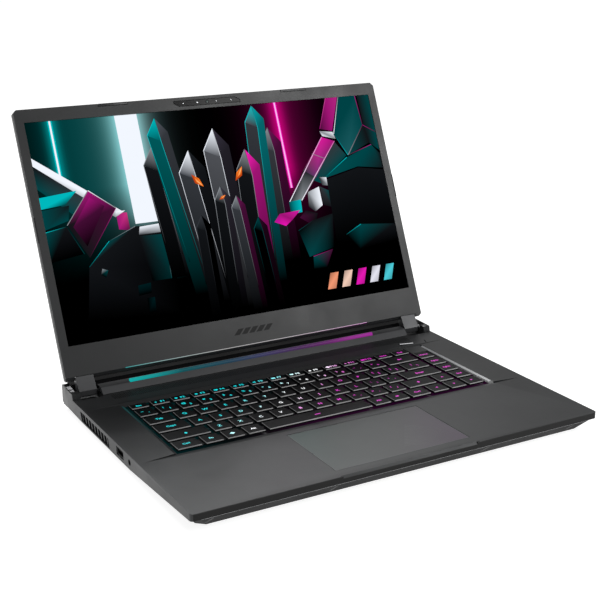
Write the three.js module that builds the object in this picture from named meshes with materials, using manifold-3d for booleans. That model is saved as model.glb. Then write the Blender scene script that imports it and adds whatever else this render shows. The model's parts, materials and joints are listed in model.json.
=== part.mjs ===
// Laptop computer, lid open: millimetres, +X to the user's right, +Y away from the user, +Z up.
// The base is drawn from its deck: y = 0 is the deck's front edge and z = 0 its top face.
// The lid is drawn upright round its hinge axis, then leaned back, and the whole part is moved so
// that its origin is on the desk, under the middle of its bounding box.
import * as THREE from "three";
import { ConvexGeometry } from "three/addons/geometries/ConvexGeometry.js";
import { mergeVertices } from "three/addons/utils/BufferGeometryUtils.js";
import Module from "manifold-3d";

const wasm = await Module();
wasm.setup();

// Overall sizes
const HALF_WIDTH = 180;
const SIDE_REAR_Y = 264;
const TAIL_REAR_Y = 272;
const TAIL_FRONT_Y = 251.6;
const DECK_HEIGHT = 16.5;
const FOOT_DEPTH = 1.5;
const GAP = 0.3;

// Casings
const DECK_SKIN = 2;
const SIDE_SKIN = 2;
const FLOOR_Z = -15;
const FLOOR_SKIN = 1.5;
const FLOOR_HALF_WIDTH = 170.5;
const LIP_Z = -5.5;
const SIDE_Z = -11.8;
const DECK_REAR_Y = 251.2;

// Keyboard
const KEY_PITCH = 18.35;
const KEY_MARGIN = 1.35;
const KEY_FRONT_Y = 101;
const KEY_LEFT_X = -145.6;
const KEY_RIGHT_X = 127;
const NAV_RIGHT_X = 145.2;
const FUNCTION_DEPTH = 12.25;
const CAP_TOP_Z = -0.25;
const CAP_BOTTOM_Z = -2;
const WEB_BOTTOM_Z = -2.4;
const CAP_TAPER = 0.7;
const PLATE_TOP_Z = -4.2;
const PLATE_BOTTOM_Z = -5;
const LEFT_EDGES = { tab: -119.6, capsLock: -114.6, shift: -105.9 };
const RIGHT_EDGES = { space: 31.6, control: 68.3, leftArrow: 90.2, downArrow: 108.6 };
const LEFT_MODIFIERS = [KEY_LEFT_X, -121.9, -103.6, -85.4, -67.3];

// Keyboard well: its opening, the wider outline that its sloping edges reach at the deck's top,
// and how far those slopes run out towards the laptop's sides
const WELL = { halfWidth: 146.2, front: 98.4, rear: 205.3 };
const WELL_BRIM = { halfWidth: 149.6, front: 91.5, rear: 209.6, tip: 175.5 };
const WELL_DEPTH = 1.8;
const WELL_CORNER_DEPTH = 0.9;

// Touchpad and power button
const TOUCHPAD = { halfWidth: 60, front: 11.15, rear: 84.5, top: -0.15, bottom: -2.4 };
const BUTTON = { left: 131.8, right: 146.2, front: 212.2, rear: 217.8 };

// Air inlet behind the keyboard: a plate with a lattice of holes
const GRILLE = { halfWidth: 150, front: 220.6, rear: 233.4, top: 0, bottom: -1.3, clearance: 0.04 };
const GRILLE_PITCH = 4;
const GRILLE_HOLE = 1.25;

// Inner stack, from the floor of the bottom cover up to the keyboard plate
const INNER_BOTTOM_Z = -13.2;
const BOARD_TOP_Z = -8.4;
const BOARD_THICKNESS = 1.2;
const FAN = { x: 112, y: 184, cavity: 31, top: -5.6, roof: 1 };

// Feet
const FRONT_FOOT = { halfWidth: 125, front: 16, rear: 24 };
const REAR_FOOT = { halfWidth: 150, front: 236, rear: 246 };

// Air outlet in each side wall
const SIDE_VENT = { front: 152, rear: 218, bottom: -10.6, top: -3, lean: 2.8, recess: 0.9 };
const VENT_PITCH = 6.9;
const VENT_SLOT = 5;

// Ports: where the middle of each opening is, its width and height, and the depth of its shell
const PORT_WALL = 0.7;
const PORT_FACE_X = 179.4;
const USB_A_LEFT = { y: 130, z: -5.6, width: 12.4, height: 4.9, depth: 16 };
const USB_A_RIGHT = { y: 117, z: -5.6, width: 12.4, height: 4.9, depth: 16 };
const USB_C_RIGHT = { y: 138, z: -5.9, width: 8.4, height: 2.6, depth: 12 };
const AUDIO_JACK = { y: 110.6, z: -5.8, window: 2.5, nose: 2.2, bore: 1.75 };
const REAR_PORT_Z = -5.2;
const REAR_PORTS = {
  ethernet: { x: 40, width: 12.2, height: 6.4 },
  hdmi: { x: 14, width: 14.2, height: 4.7 },
  power: { x: -42, width: 7.4, height: 7.4 },
};

// Hinge
const AXIS = { y: 245.93, z: 1.54 };
const OPEN_ANGLE = 114;
const BARREL_RADIUS = 2.3;
const PIN_RADIUS = 1.1;
const BORE_RADIUS = 1.45;
const HINGE_LEFT_X = 155.9;
const HINGE_RIGHT_X = 171.3;
const BAR_HALF_WIDTH = 153.5;
const KNUCKLE_X = [143, 152.2];
const PIN_END_X = 144.5;

// Light strip along the hinge housing
const LIGHT = { left: -126.5, right: 117.5, front: 240.6, rear: 244.4, bottom: 4, shoulder: 5.3 };

// Raised corner outboard of each hinge: solid at its front, and hollow inside its outer wall
const FIN = { near: 173, wall: 178.8, pocketFront: 242.5, pocketRear: 262.4, pocketFloor: 1.2 };

// Lid, upright: z is the height above the axis, and y runs from its face back
const LID = { bottom: 10.84, top: 245.08, face: -0.74, back: 5.26, seam: 0.9 };
const SCREEN = { halfWidth: 172.1, bottom: 39.81, top: 233.41 };
const CAP_HEIGHT = 13.4;
const CAP_BORE = 2.6;
const CHIN_LIP = 2.9;
const LID_SKIN = 1.2;
const LID_CORNER = 3;
const LID_FOOT_CORNER = 1.4;
const BUMPER = { near: 77, far: 104, bottom: 242.6 };
const WEBCAM = { halfWidth: 33, bottom: 236.6, top: 241.6 };

const finish = (color, roughness, metalness) =>
  new THREE.MeshStandardMaterial({ color, roughness, metalness });
const DECK_METAL = finish(0x3a3b3d, 0.42, 0.75);
const SHELL_PLASTIC = finish(0x242526, 0.6, 0.1);
const BEZEL_PLASTIC = finish(0x3b3c3e, 0.55, 0.2);
const BLACK_PLASTIC = finish(0x101113, 0.5, 0.0);
const RUBBER = finish(0x0b0b0c, 0.85, 0.0);
const STEEL = finish(0x9a9ca0, 0.35, 1.0);
const COPPER = finish(0xb5724a, 0.35, 1.0);
const BOARD = finish(0x12301f, 0.6, 0.0);
const SCREEN_GLASS = finish(0x050608, 0.2, 0.0);
const DIFFUSER = finish(0x35d6d8, 0.4, 0.0);

// ---- Solids ----

function solidFrom(geometry) {
  geometry.deleteAttribute("normal");
  geometry.deleteAttribute("uv");
  const merged = mergeVertices(geometry, 1e-4);
  const mesh = new wasm.Mesh({
    numProp: 3,
    vertProperties: merged.attributes.position.array,
    triVerts: new Uint32Array(merged.index.array),
  });
  return new wasm.Manifold(mesh);
}

function box(x0, x1, y0, y1, z0, z1) {
  const geometry = new THREE.BoxGeometry(x1 - x0, y1 - y0, z1 - z0);
  return solidFrom(geometry.translate((x0 + x1) / 2, (y0 + y1) / 2, (z0 + z1) / 2));
}

// A shape, or a list of corners, drawn out to a depth.
function extrude(outline, depth) {
  const corners = (points) => new THREE.Shape(points.map(([u, v]) => new THREE.Vector2(u, v)));
  const shape = Array.isArray(outline) ? corners(outline) : outline;
  return new THREE.ExtrudeGeometry(shape, { depth, bevelEnabled: false, curveSegments: 6 });
}

// An outline in X and Y, raised from z0 to z1.
const prismZ = (outline, z0, z1) => solidFrom(extrude(outline, z1 - z0).translate(0, 0, z0));

// A section in Y and Z, carried from x0 to x1.
function prismX(section, x0, x1) {
  const turn = new THREE.Matrix4().set(0, 0, 1, x0, 1, 0, 0, 0, 0, 1, 0, 0, 0, 0, 0, 1);
  return solidFrom(extrude(section, x1 - x0).applyMatrix4(turn));
}

// An outline in X and Z, carried from the front face y0 back to y1.
const prismY = (outline, y0, y1) =>
  solidFrom(extrude(outline, y1 - y0).rotateX(Math.PI / 2).translate(0, y1, 0));

function cylinderX(radius, x0, x1, y, z, sides) {
  const geometry = new THREE.CylinderGeometry(radius, radius, x1 - x0, sides);
  return solidFrom(geometry.rotateZ(Math.PI / 2).translate((x0 + x1) / 2, y, z));
}

function cylinderY(radius, y0, y1, x, z, sides) {
  const geometry = new THREE.CylinderGeometry(radius, radius, y1 - y0, sides);
  return solidFrom(geometry.translate(x, (y0 + y1) / 2, z));
}

function cylinderZ(radius, z0, z1, x, y, sides) {
  const geometry = new THREE.CylinderGeometry(radius, radius, z1 - z0, sides);
  return solidFrom(geometry.rotateX(Math.PI / 2).translate(x, y, (z0 + z1) / 2));
}

// The convex solid round some corners.
const convex = (corners) => solidFrom(new ConvexGeometry(corners.map((c) => new THREE.Vector3(...c))));

// A closed solid through a row of rings with the same number of points, each anticlockwise
// when seen from the end that the row runs to.
function loft(rings) {
  const count = rings[0].length;
  const last = (rings.length - 1) * count;
  const index = [];
  for (let start = 0; start < last; start += count) {
    for (let k = 0; k < count; k++) {
      const a = start + k;
      const b = start + ((k + 1) % count);
      index.push(a, b, b + count, a, b + count, a + count);
    }
  }
  for (let k = 1; k < count - 1; k++) {
    index.push(0, k + 1, k, last, last + k, last + k + 1);
  }
  const geometry = new THREE.BufferGeometry();
  geometry.setAttribute("position", new THREE.Float32BufferAttribute(rings.flat(2), 3));
  geometry.setIndex(index);
  return solidFrom(geometry);
}

const join = (first, ...others) => others.reduce((whole, piece) => whole.add(piece), first);
const cut = (first, ...others) => others.reduce((whole, piece) => whole.subtract(piece), first);
const bothSides = (make) => [make(-1), make(1)];

// The box from |x| = near to |x| = far on one side of the laptop.
function sideBox(side, near, far, y0, y1, z0, z1) {
  return side < 0 ? box(-far, -near, y0, y1, z0, z1) : box(near, far, y0, y1, z0, z1);
}

function part(name, solid, material) {
  const { vertProperties, triVerts } = solid.getMesh();
  const geometry = new THREE.BufferGeometry();
  geometry.setAttribute("position", new THREE.Float32BufferAttribute(vertProperties, 3));
  geometry.setIndex(Array.from(triVerts));
  const faceted = geometry.toNonIndexed();
  faceted.computeVertexNormals();
  const mesh = new THREE.Mesh(faceted, material);
  mesh.name = name;
  return mesh;
}

// ---- Base casings ----

// The deck's outline: straight sides, eased in a little at the rear, and rounded front corners.
function deckOutline(inset) {
  const side = HALF_WIDTH - inset;
  const rear = side - 0.6;
  const corner = 3;
  const shape = new THREE.Shape();
  shape.moveTo(-side + corner, inset);
  shape.lineTo(side - corner, inset);
  shape.quadraticCurveTo(side, inset, side, inset + corner);
  shape.lineTo(side, 244);
  shape.quadraticCurveTo(side, 256, rear, SIDE_REAR_Y);
  shape.lineTo(-rear, SIDE_REAR_Y);
  shape.quadraticCurveTo(-side, 256, -side, 244);
  shape.lineTo(-side, inset + corner);
  shape.quadraticCurveTo(-side, inset, -side + corner, inset);
  return shape;
}

// Everything above the line where the top case meets the bottom cover.
function aboveParting() {
  const section = [
    [-5, LIP_Z],
    [0, LIP_Z],
    [110, SIDE_Z],
    [215, SIDE_Z],
    [TAIL_REAR_Y, -10],
    [TAIL_REAR_Y, 10],
    [-5, 10],
  ];
  return prismX(section, -HALF_WIDTH - 5, HALF_WIDTH + 5);
}

// The raised corner outboard of each hinge.
function cornerFin(side) {
  const section = [
    [235.45, -1],
    [235.6, 0.3],
    [236.6, 4.9],
    [262, 5.6],
    [SIDE_REAR_Y, 4.6],
    [SIDE_REAR_Y, -1],
  ];
  return side < 0 ? prismX(section, -HALF_WIDTH, -FIN.near) : prismX(section, FIN.near, HALF_WIDTH);
}

// A long slanted recess in a side wall, with slots through its floor between thin fins.
function sideVent(side) {
  const { front, rear, bottom, top, lean, recess } = SIDE_VENT;
  const slanted = (y0, y1, depth) => {
    const section = [
      [y0, bottom],
      [y1, bottom],
      [y1 + lean, top],
      [y0 + lean, top],
    ];
    const inner = HALF_WIDTH - depth;
    return side < 0 ? prismX(section, -182, -inner) : prismX(section, inner, 182);
  };
  const slots = [];
  for (let y = front; y < rear - VENT_SLOT; y += VENT_PITCH) {
    slots.push(slanted(y, y + VENT_SLOT, SIDE_SKIN + 1));
  }
  return join(slanted(front, rear - lean, recess), ...slots);
}

// A thin wedge that carries a slope of the well out to a point near the laptop's side.
function wellWing(side, brimY, edgeY) {
  const { halfWidth, tip } = WELL_BRIM;
  const near = side * (halfWidth - 1);
  return convex([
    [side * tip, brimY + (edgeY - brimY) * 0.3, 0],
    [near, brimY, 0],
    [near, edgeY, -WELL_DEPTH * 0.6],
    [near, edgeY, 1],
    [near, brimY, 1],
    [side * tip, brimY + (edgeY - brimY) * 0.3, 1],
  ]);
}

// The opening that the keys stand in. Behind the navigation keys its corner is only a shallow step.
function keyboardWell() {
  const ring = ({ halfWidth, front, rear }, z) => [
    [-halfWidth, front, z],
    [halfWidth, front, z],
    [halfWidth, rear, z],
    [-halfWidth, rear, z],
  ];
  const slopes = loft([ring(WELL, -WELL_DEPTH), ring(WELL_BRIM, 0), ring(WELL_BRIM, 1)]);
  const opening = box(-WELL.halfWidth, WELL.halfWidth, WELL.front, WELL.rear, -6, 1);
  const corner = box(
    KEY_RIGHT_X + 2.9,
    WELL_BRIM.halfWidth + 1,
    KEY_FRONT_Y + 5 * KEY_PITCH - 0.4,
    WELL_BRIM.rear + 1,
    -7,
    -WELL_CORNER_DEPTH,
  );
  const wings = bothSides((side) => [
    wellWing(side, WELL_BRIM.front, WELL.front - 2),
    wellWing(side, WELL_BRIM.rear, WELL.rear + 1.4),
  ]);
  return join(slopes.add(opening).subtract(corner), ...wings.flat());
}

// The deck and its walls, before any opening is cut in them.
function topShell() {
  const fins = bothSides(cornerFin);
  const outer = join(prismZ(deckOutline(0), -13, 0), ...fins);
  const inside = prismZ(deckOutline(SIDE_SKIN), -14, -DECK_SKIN);
  const finPockets = bothSides((side) =>
    sideBox(side, FIN.near - 1, FIN.wall, FIN.pocketFront, FIN.pocketRear, FIN.pocketFloor, 8),
  );
  const tail = box(-172.6, 172.6, DECK_REAR_Y, 280, -14, 8);
  const tailUnderside = box(-172.6, 172.6, AXIS.y - 1, 280, -14, -DECK_SKIN);
  const shell = outer.intersect(aboveParting()).intersect(prismZ(deckOutline(0), -13, 8));
  return cut(shell, inside, tail, tailUnderside, ...finPockets);
}

// The deck with a walled pocket for each hinge cap and room for each hinge knuckle.
function withHingePockets(shell) {
  const pockets = bothSides((side) => sideBox(side, 152.5, 174, 231.4, DECK_REAR_Y, -5.7, -0.5));
  const capRooms = bothSides((side) => sideBox(side, 153.9, 172.7, 233, 255, -4.5, 8));
  const knuckleRooms = bothSides((side) => sideBox(side, 142.6, 152.5, 242.8, 255, -3, 1));
  return cut(join(shell, ...pockets), ...capRooms, ...knuckleRooms);
}

// A straight opening through the deck with a clearance round what fills it.
const deckOpening = (x0, x1, y0, y1, clearance) =>
  box(x0 - clearance, x1 + clearance, y0 - clearance, y1 + clearance, -5, 1);

// A window in a side wall round a port's shell.
function sideWindow(side, { y, z, width, height }) {
  const grow = PORT_WALL + GAP;
  const [halfWide, halfHigh] = [width / 2 + grow, height / 2 + grow];
  return sideBox(side, 176, 182, y - halfWide, y + halfWide, z - halfHigh, z + halfHigh);
}

function topCase() {
  const fingerEdge = prismX([[-1, 1], [-1, -2.2], [0, -2.2], [1.5, 0], [1.5, 1]], -60, 60);
  return cut(
    withHingePockets(topShell()),
    keyboardWell(),
    deckOpening(-TOUCHPAD.halfWidth, TOUCHPAD.halfWidth, TOUCHPAD.front, TOUCHPAD.rear, 0.35),
    deckOpening(BUTTON.left, BUTTON.right, BUTTON.front, BUTTON.rear, 0.35),
    deckOpening(-GRILLE.halfWidth, GRILLE.halfWidth, GRILLE.front, GRILLE.rear, GRILLE.clearance),
    fingerEdge,
    ...bothSides(sideVent),
    sideWindow(-1, USB_A_LEFT),
    sideWindow(1, USB_A_RIGHT),
    sideWindow(1, USB_C_RIGHT),
    cylinderX(AUDIO_JACK.window, -182, -176, AUDIO_JACK.y, AUDIO_JACK.z, 16),
  );
}

// The perforated plate behind the keyboard.
function ventGrille() {
  const { halfWidth, front, rear, top, bottom } = GRILLE;
  const holes = [];
  for (let row = 0; row < 5; row++) {
    const y = (front + rear) / 2 + (row - 2) * (GRILLE_PITCH / 2);
    const start = -halfWidth + 3 + (row % 2) * (GRILLE_PITCH / 2);
    for (let x = start; x < halfWidth - 2; x += GRILLE_PITCH) {
      holes.push(cylinderZ(GRILLE_HOLE, bottom - 1, top + 1, x, y, 4));
    }
  }
  const plate = box(-halfWidth, halfWidth, front, rear, bottom, top);
  return plate.subtract(wasm.Manifold.union(holes));
}

// Four corners of the bottom cover's section at one station: lower edge at yLow, upper edge at yHigh.
function coverStation(halfLow, yLow, zLow, halfHigh, yHigh, zHigh) {
  return [
    [-halfLow, yLow, zLow],
    [-halfHigh, yHigh, zHigh],
    [halfHigh, yHigh, zHigh],
    [halfLow, yLow, zLow],
  ];
}

// The wedge that bevels the bottom cover's sloping edge at a front corner.
const coverCorner = (side) =>
  convex([
    [side * 173.6, 0, LIP_Z + 1],
    [side * 180, 6.4, LIP_Z + 1],
    [side * 186, -6, LIP_Z + 1],
    [side * 164.2, 9.4, FLOOR_Z - 0.6],
    [side * 171, 15.6, FLOOR_Z - 0.6],
    [side * 186, -6, FLOOR_Z - 0.6],
  ]);

function bottomCover() {
  const rim = SIDE_Z - GAP;
  const outer = loft([
    coverStation(FLOOR_HALF_WIDTH, 9, FLOOR_Z, HALF_WIDTH - 2.6, 0.6, LIP_Z - GAP),
    coverStation(FLOOR_HALF_WIDTH, 110, FLOOR_Z, HALF_WIDTH - 0.6, 110, rim),
    coverStation(FLOOR_HALF_WIDTH, 215, FLOOR_Z, HALF_WIDTH - 0.8, 215, rim),
    coverStation(FLOOR_HALF_WIDTH - 1.5, DECK_REAR_Y, FLOOR_Z, HALF_WIDTH - 1.2, DECK_REAR_Y, rim),
  ]);
  const floor = FLOOR_Z + FLOOR_SKIN;
  const inside = loft([
    coverStation(168.5, 11.3, floor, 174, 3.2, -4),
    coverStation(169.5, 110, floor, 175, 110, -10.5),
    coverStation(169.5, 215, floor, 175, 215, -10.5),
    coverStation(168, 253, floor, 174, 253, -10.5),
  ]);
  const intakes = [];
  for (let step = 0; step < 8; step++) {
    for (const side of [-1, 1]) {
      intakes.push(sideBox(side, 83 + 8 * step, 87.5 + 8 * step, 162, 206, -16, -13));
    }
  }
  const footRecess = (halfWidth, y0, y1) =>
    box(-halfWidth - GAP, halfWidth + GAP, y0 - GAP, y1 + GAP, -16, FLOOR_Z + 0.5);
  return cut(
    outer,
    inside,
    ...intakes,
    ...bothSides(coverCorner),
    footRecess(FRONT_FOOT.halfWidth, FRONT_FOOT.front, FRONT_FOOT.rear),
    footRecess(REAR_FOOT.halfWidth, REAR_FOOT.front, REAR_FOOT.rear),
  );
}

function foot({ halfWidth, front, rear }) {
  return box(-halfWidth, halfWidth, front, rear, FLOOR_Z - FOOT_DEPTH, FLOOR_Z + 0.2);
}

function rearCover() {
  const outer = prismX(
    [
      [TAIL_FRONT_Y, FLOOR_Z],
      [262, FLOOR_Z + 1],
      [269, -12.4],
      [TAIL_REAR_Y, -9.6],
      [TAIL_REAR_Y, -0.8],
      [271, 3],
      [267.4, 5],
      [258.4, 5],
      [252.6, -1.2],
      [TAIL_FRONT_Y, -2.6],
    ],
    -172.2,
    172.2,
  );
  const inside = prismX(
    [
      [245, -13.4],
      [252, -13.4],
      [261.6, -12.3],
      [268, -11],
      [270.2, -9.2],
      [270.2, 1.6],
      [266.8, 3.3],
      [259.4, 3.3],
      [253.4, -2.8],
      [245, -3.8],
    ],
    -170.4,
    170.4,
  );
  const exhausts = [];
  for (let x = 62; x < 116; x += 5) {
    for (const side of [-1, 1]) {
      exhausts.push(sideBox(side, x, x + 3.2, 268, 275, -8.6, -1.6));
    }
  }
  const windows = Object.values(REAR_PORTS).map(({ x, width, height }) => {
    const grow = PORT_WALL + GAP;
    return box(
      x - width / 2 - grow,
      x + width / 2 + grow,
      268,
      275,
      REAR_PORT_Z - height / 2 - grow,
      REAR_PORT_Z + height / 2 + grow,
    );
  });
  return cut(outer, inside, ...exhausts, ...windows);
}

// ---- Hinge housing and light ----

function hingeBar() {
  const section = [
    [234.9, GAP],
    [239.9, 4.8],
    [242, 5.3],
    [248.6, 5.3],
    [250.2, 3.6],
    [250.2, GAP],
  ];
  const groove = box(
    LIGHT.left - GAP,
    LIGHT.right + GAP,
    LIGHT.front - GAP,
    LIGHT.rear + GAP,
    LIGHT.bottom - GAP,
    8,
  );
  const knuckleRooms = bothSides((side) => sideBox(side, 142.5, 154, 243.2, 249.2, -1, 4.3));
  return cut(prismX(section, -BAR_HALF_WIDTH, BAR_HALF_WIDTH), groove, ...knuckleRooms);
}

function lightBar() {
  const { left, right, front, rear, bottom, shoulder } = LIGHT;
  const radius = (rear - front) / 2;
  const shape = new THREE.Shape();
  shape.moveTo(front, bottom);
  shape.lineTo(rear, bottom);
  shape.lineTo(rear, shoulder);
  shape.absarc((front + rear) / 2, shoulder, radius, 0, Math.PI, false);
  shape.lineTo(front, bottom);
  return prismX(shape, left, right);
}

function hingeBracket(side) {
  const [near, far] = KNUCKLE_X;
  const leaf = sideBox(side, 121, far, 224, 248, -4.4, -2.6);
  const web = sideBox(side, near, far, AXIS.y - 1.9, AXIS.y + 1.9, -4.4, AXIS.z);
  const [x0, x1] = side < 0 ? [-far, -near] : [near, far];
  const knuckle = cylinderX(BARREL_RADIUS, x0, x1, AXIS.y, AXIS.z, 16);
  const bore = cylinderX(BORE_RADIUS, x0 - 1, x1 + 1, AXIS.y, AXIS.z, 12);
  return cut(join(leaf, web, knuckle), bore);
}

// ---- Keyboard ----

// One key cap: a low block whose top is a little smaller than its foot.
function keyCap(left, right, front, rear) {
  const ring = (inset, z) => [
    [left + inset, front + inset, z],
    [right - inset, front + inset, z],
    [right - inset, rear - inset, z],
    [left + inset, rear - inset, z],
  ];
  return loft([
    ring(KEY_MARGIN, CAP_BOTTOM_Z),
    ring(KEY_MARGIN, CAP_BOTTOM_Z + 0.9),
    ring(KEY_MARGIN + CAP_TAPER, CAP_TOP_Z),
  ]);
}

const rowFront = (row) => KEY_FRONT_Y + row * KEY_PITCH;
const rowRear = (row) => rowFront(row) + (row === 5 ? FUNCTION_DEPTH : KEY_PITCH);

// The caps between neighbouring edges of one row, on the carrier that they press down with.
function keyRow(row, edges) {
  const caps = edges.slice(1).map((right, k) => keyCap(edges[k], right, rowFront(row), rowRear(row)));
  const carrier = box(
    edges[0] + 4,
    edges[edges.length - 1] - 4,
    rowFront(row) + 3.6,
    rowRear(row) - 3.6,
    WEB_BOTTOM_Z,
    CAP_BOTTOM_Z + 0.2,
  );
  return join(carrier, ...caps);
}

const evenEdges = (start, count) => Array.from({ length: count + 1 }, (_, k) => start + k * KEY_PITCH);

function arrowKeys() {
  const [left, middle, right] = [RIGHT_EDGES.leftArrow, RIGHT_EDGES.downArrow, KEY_RIGHT_X];
  const link = box(left + 24, right - 5, rowFront(0) + 8, rowFront(1) + 8, WEB_BOTTOM_Z, CAP_BOTTOM_Z + 0.2);
  const upper = keyCap(middle, right, rowFront(1), rowRear(1));
  return join(keyRow(0, [left, middle, right, NAV_RIGHT_X]), link, upper);
}

function navigationKeys() {
  const caps = [1, 2, 3, 4].map((row) => keyCap(KEY_RIGHT_X + 0.4, NAV_RIGHT_X, rowFront(row), rowRear(row)));
  const link = box(
    KEY_RIGHT_X + 5,
    NAV_RIGHT_X - 5,
    rowFront(1) + 5,
    rowRear(4) - 5,
    WEB_BOTTOM_Z,
    CAP_BOTTOM_Z + 0.2,
  );
  return join(link, ...caps);
}

function keyGroups() {
  const numbersEnd = KEY_LEFT_X + 13 * KEY_PITCH;
  const upperEnd = LEFT_EDGES.tab + 12 * KEY_PITCH;
  const homeEnd = LEFT_EDGES.capsLock + 11 * KEY_PITCH;
  const lowerEnd = LEFT_EDGES.shift + 10 * KEY_PITCH;
  const { space, control, leftArrow, downArrow } = RIGHT_EDGES;
  return {
    function_row_keys: keyRow(5, evenEdges(KEY_LEFT_X, 15)),
    number_row_keys: keyRow(4, evenEdges(KEY_LEFT_X, 13)),
    backspace_key: keyRow(4, [numbersEnd, KEY_RIGHT_X]),
    tab_key: keyRow(3, [KEY_LEFT_X, LEFT_EDGES.tab]),
    upper_letter_keys: keyRow(3, evenEdges(LEFT_EDGES.tab, 12)),
    backslash_key: keyRow(3, [upperEnd, KEY_RIGHT_X]),
    caps_lock_key: keyRow(2, [KEY_LEFT_X, LEFT_EDGES.capsLock]),
    home_letter_keys: keyRow(2, evenEdges(LEFT_EDGES.capsLock, 11)),
    enter_key: keyRow(2, [homeEnd, KEY_RIGHT_X]),
    left_shift_key: keyRow(1, [KEY_LEFT_X, LEFT_EDGES.shift]),
    lower_letter_keys: keyRow(1, evenEdges(LEFT_EDGES.shift, 10)),
    right_shift_key: keyRow(1, [lowerEnd, downArrow]),
    left_modifier_keys: keyRow(0, LEFT_MODIFIERS),
    space_bar: keyRow(0, [LEFT_MODIFIERS[4], space]),
    right_modifier_keys: keyRow(0, [space, space + KEY_PITCH, control, leftArrow]),
    arrow_keys: arrowKeys(),
    navigation_keys: navigationKeys(),
  };
}

function keyboardPlate() {
  const { halfWidth, front, rear } = WELL;
  const outer = box(-halfWidth - 2, halfWidth + 2, front - 3, rear + 3, PLATE_BOTTOM_Z, -DECK_SKIN - GAP);
  const tray = box(-halfWidth - 0.2, halfWidth + 0.2, front - 0.6, rear + 0.6, PLATE_TOP_Z, 0);
  return cut(outer, tray);
}

function touchpad() {
  const { halfWidth, front, rear, bottom, top } = TOUCHPAD;
  return box(-halfWidth, halfWidth, front, rear, bottom, top);
}

const powerButton = () => box(BUTTON.left, BUTTON.right, BUTTON.front, BUTTON.rear, -2.6, 0.15);

// ---- Inner parts ----

function motherboard() {
  const outline = [
    [-162, 106],
    [162, 106],
    [162, 144],
    [72, 144],
    [72, 221],
    [58, 223],
    [58, 246],
    [-58, 246],
    [-58, 223],
    [-72, 221],
    [-72, 144],
    [-162, 144],
  ];
  return prismZ(outline, BOARD_TOP_Z - BOARD_THICKNESS, BOARD_TOP_Z);
}

// A flattened heat pipe from one point to the next.
function pipeRun(x0, y0, x1, y1) {
  const half = 4;
  const length = Math.hypot(x1 - x0, y1 - y0);
  const [sideX, sideY] = [(-(y1 - y0) / length) * half, ((x1 - x0) / length) * half];
  const outline = [
    [x0 - sideX, y0 - sideY],
    [x1 - sideX, y1 - sideY],
    [x1 + sideX, y1 + sideY],
    [x0 + sideX, y0 + sideY],
  ];
  return prismZ(outline, BOARD_TOP_Z + 0.5, BOARD_TOP_Z + 2.6);
}

function heatPipes() {
  const plates = bothSides((side) => sideBox(side, 10, 46, 168, 204, BOARD_TOP_Z + 0.4, BOARD_TOP_Z + 2.4));
  const runs = bothSides((side) =>
    join(
      pipeRun(side * 30, 200, side * 54, 236),
      pipeRun(side * 50, 236, side * 116, 236),
      cylinderZ(4, BOARD_TOP_Z + 0.5, BOARD_TOP_Z + 2.6, side * 54, 236, 12),
    ),
  );
  return join(pipeRun(-30, 186, 30, 186), ...plates, ...runs);
}

function heatsink(side) {
  const base = sideBox(side, 62, 118, 225, 249, BOARD_TOP_Z - 0.8, BOARD_TOP_Z + 0.1);
  const fins = [];
  for (let x = 62; x < 118; x += 4.6) {
    fins.push(sideBox(side, x, x + 0.8, 225, 249, INNER_BOTTOM_Z, BOARD_TOP_Z - 0.4));
  }
  return join(base, ...fins);
}

function fanHousing(side) {
  const x = side * FAN.x;
  const body = box(x - 36, x + 36, FAN.y - 35, FAN.y + 36, INNER_BOTTOM_Z, FAN.top);
  const cavity = cylinderZ(FAN.cavity, -14, FAN.top - FAN.roof, x, FAN.y, 28);
  const outlet = box(x - 28, x + 28, FAN.y, FAN.y + 40, -14, FAN.top - FAN.roof);
  const pin = cylinderZ(1.6, -11.6, FAN.top - 0.2, x, FAN.y, 12);
  return cut(body, cavity, outlet).add(pin);
}

function fanImpeller(side) {
  const x = side * FAN.x;
  const [bottom, top] = [-12.6, FAN.top - FAN.roof - 0.5];
  const hub = cylinderZ(11, bottom, top, x, FAN.y, 20);
  const blade = box(9, 28.6, -0.4, 0.4, bottom + 0.6, top - 0.4);
  const blades = Array.from({ length: 15 }, (_, k) =>
    blade.rotate([0, 0, 24 * k + 8]).translate([x, FAN.y, 0]),
  );
  return join(hub, ...blades).subtract(cylinderZ(2.1, bottom - 1, top + 1, x, FAN.y, 12));
}

const battery = () => box(-105, 105, 27, 98, INNER_BOTTOM_Z, -7);
const solidStateDrive = () => box(-100, -20, 112, 134, BOARD_TOP_Z + GAP, BOARD_TOP_Z + 2.3);
const memoryModule = () => box(0, 68, 110, 140, BOARD_TOP_Z + GAP, BOARD_TOP_Z + 2.6);
const speaker = (side) => sideBox(side, 114, 164, 16, 62, INNER_BOTTOM_Z, -7);

// A port shell let into a side wall, hollow up to its back wall.
function sidePort(side, { y, z, width, height, depth }) {
  const [halfWide, halfHigh] = [width / 2, height / 2];
  const inner = PORT_FACE_X - depth;
  const shell = sideBox(
    side,
    inner,
    PORT_FACE_X,
    y - halfWide - PORT_WALL,
    y + halfWide + PORT_WALL,
    z - halfHigh - PORT_WALL,
    z + halfHigh + PORT_WALL,
  );
  return shell.subtract(
    sideBox(side, inner + 1, 181, y - halfWide, y + halfWide, z - halfHigh, z + halfHigh),
  );
}

function audioJack() {
  const { y, z, nose, bore } = AUDIO_JACK;
  const body = box(-177.6, -166, y - 3.4, y + 3.4, z - 2.8, z + 2.8);
  const tube = cylinderX(nose, -179.6, -177, y, z, 16);
  return body.add(tube).subtract(cylinderX(bore, -181, -167.5, y, z, 12));
}

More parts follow.
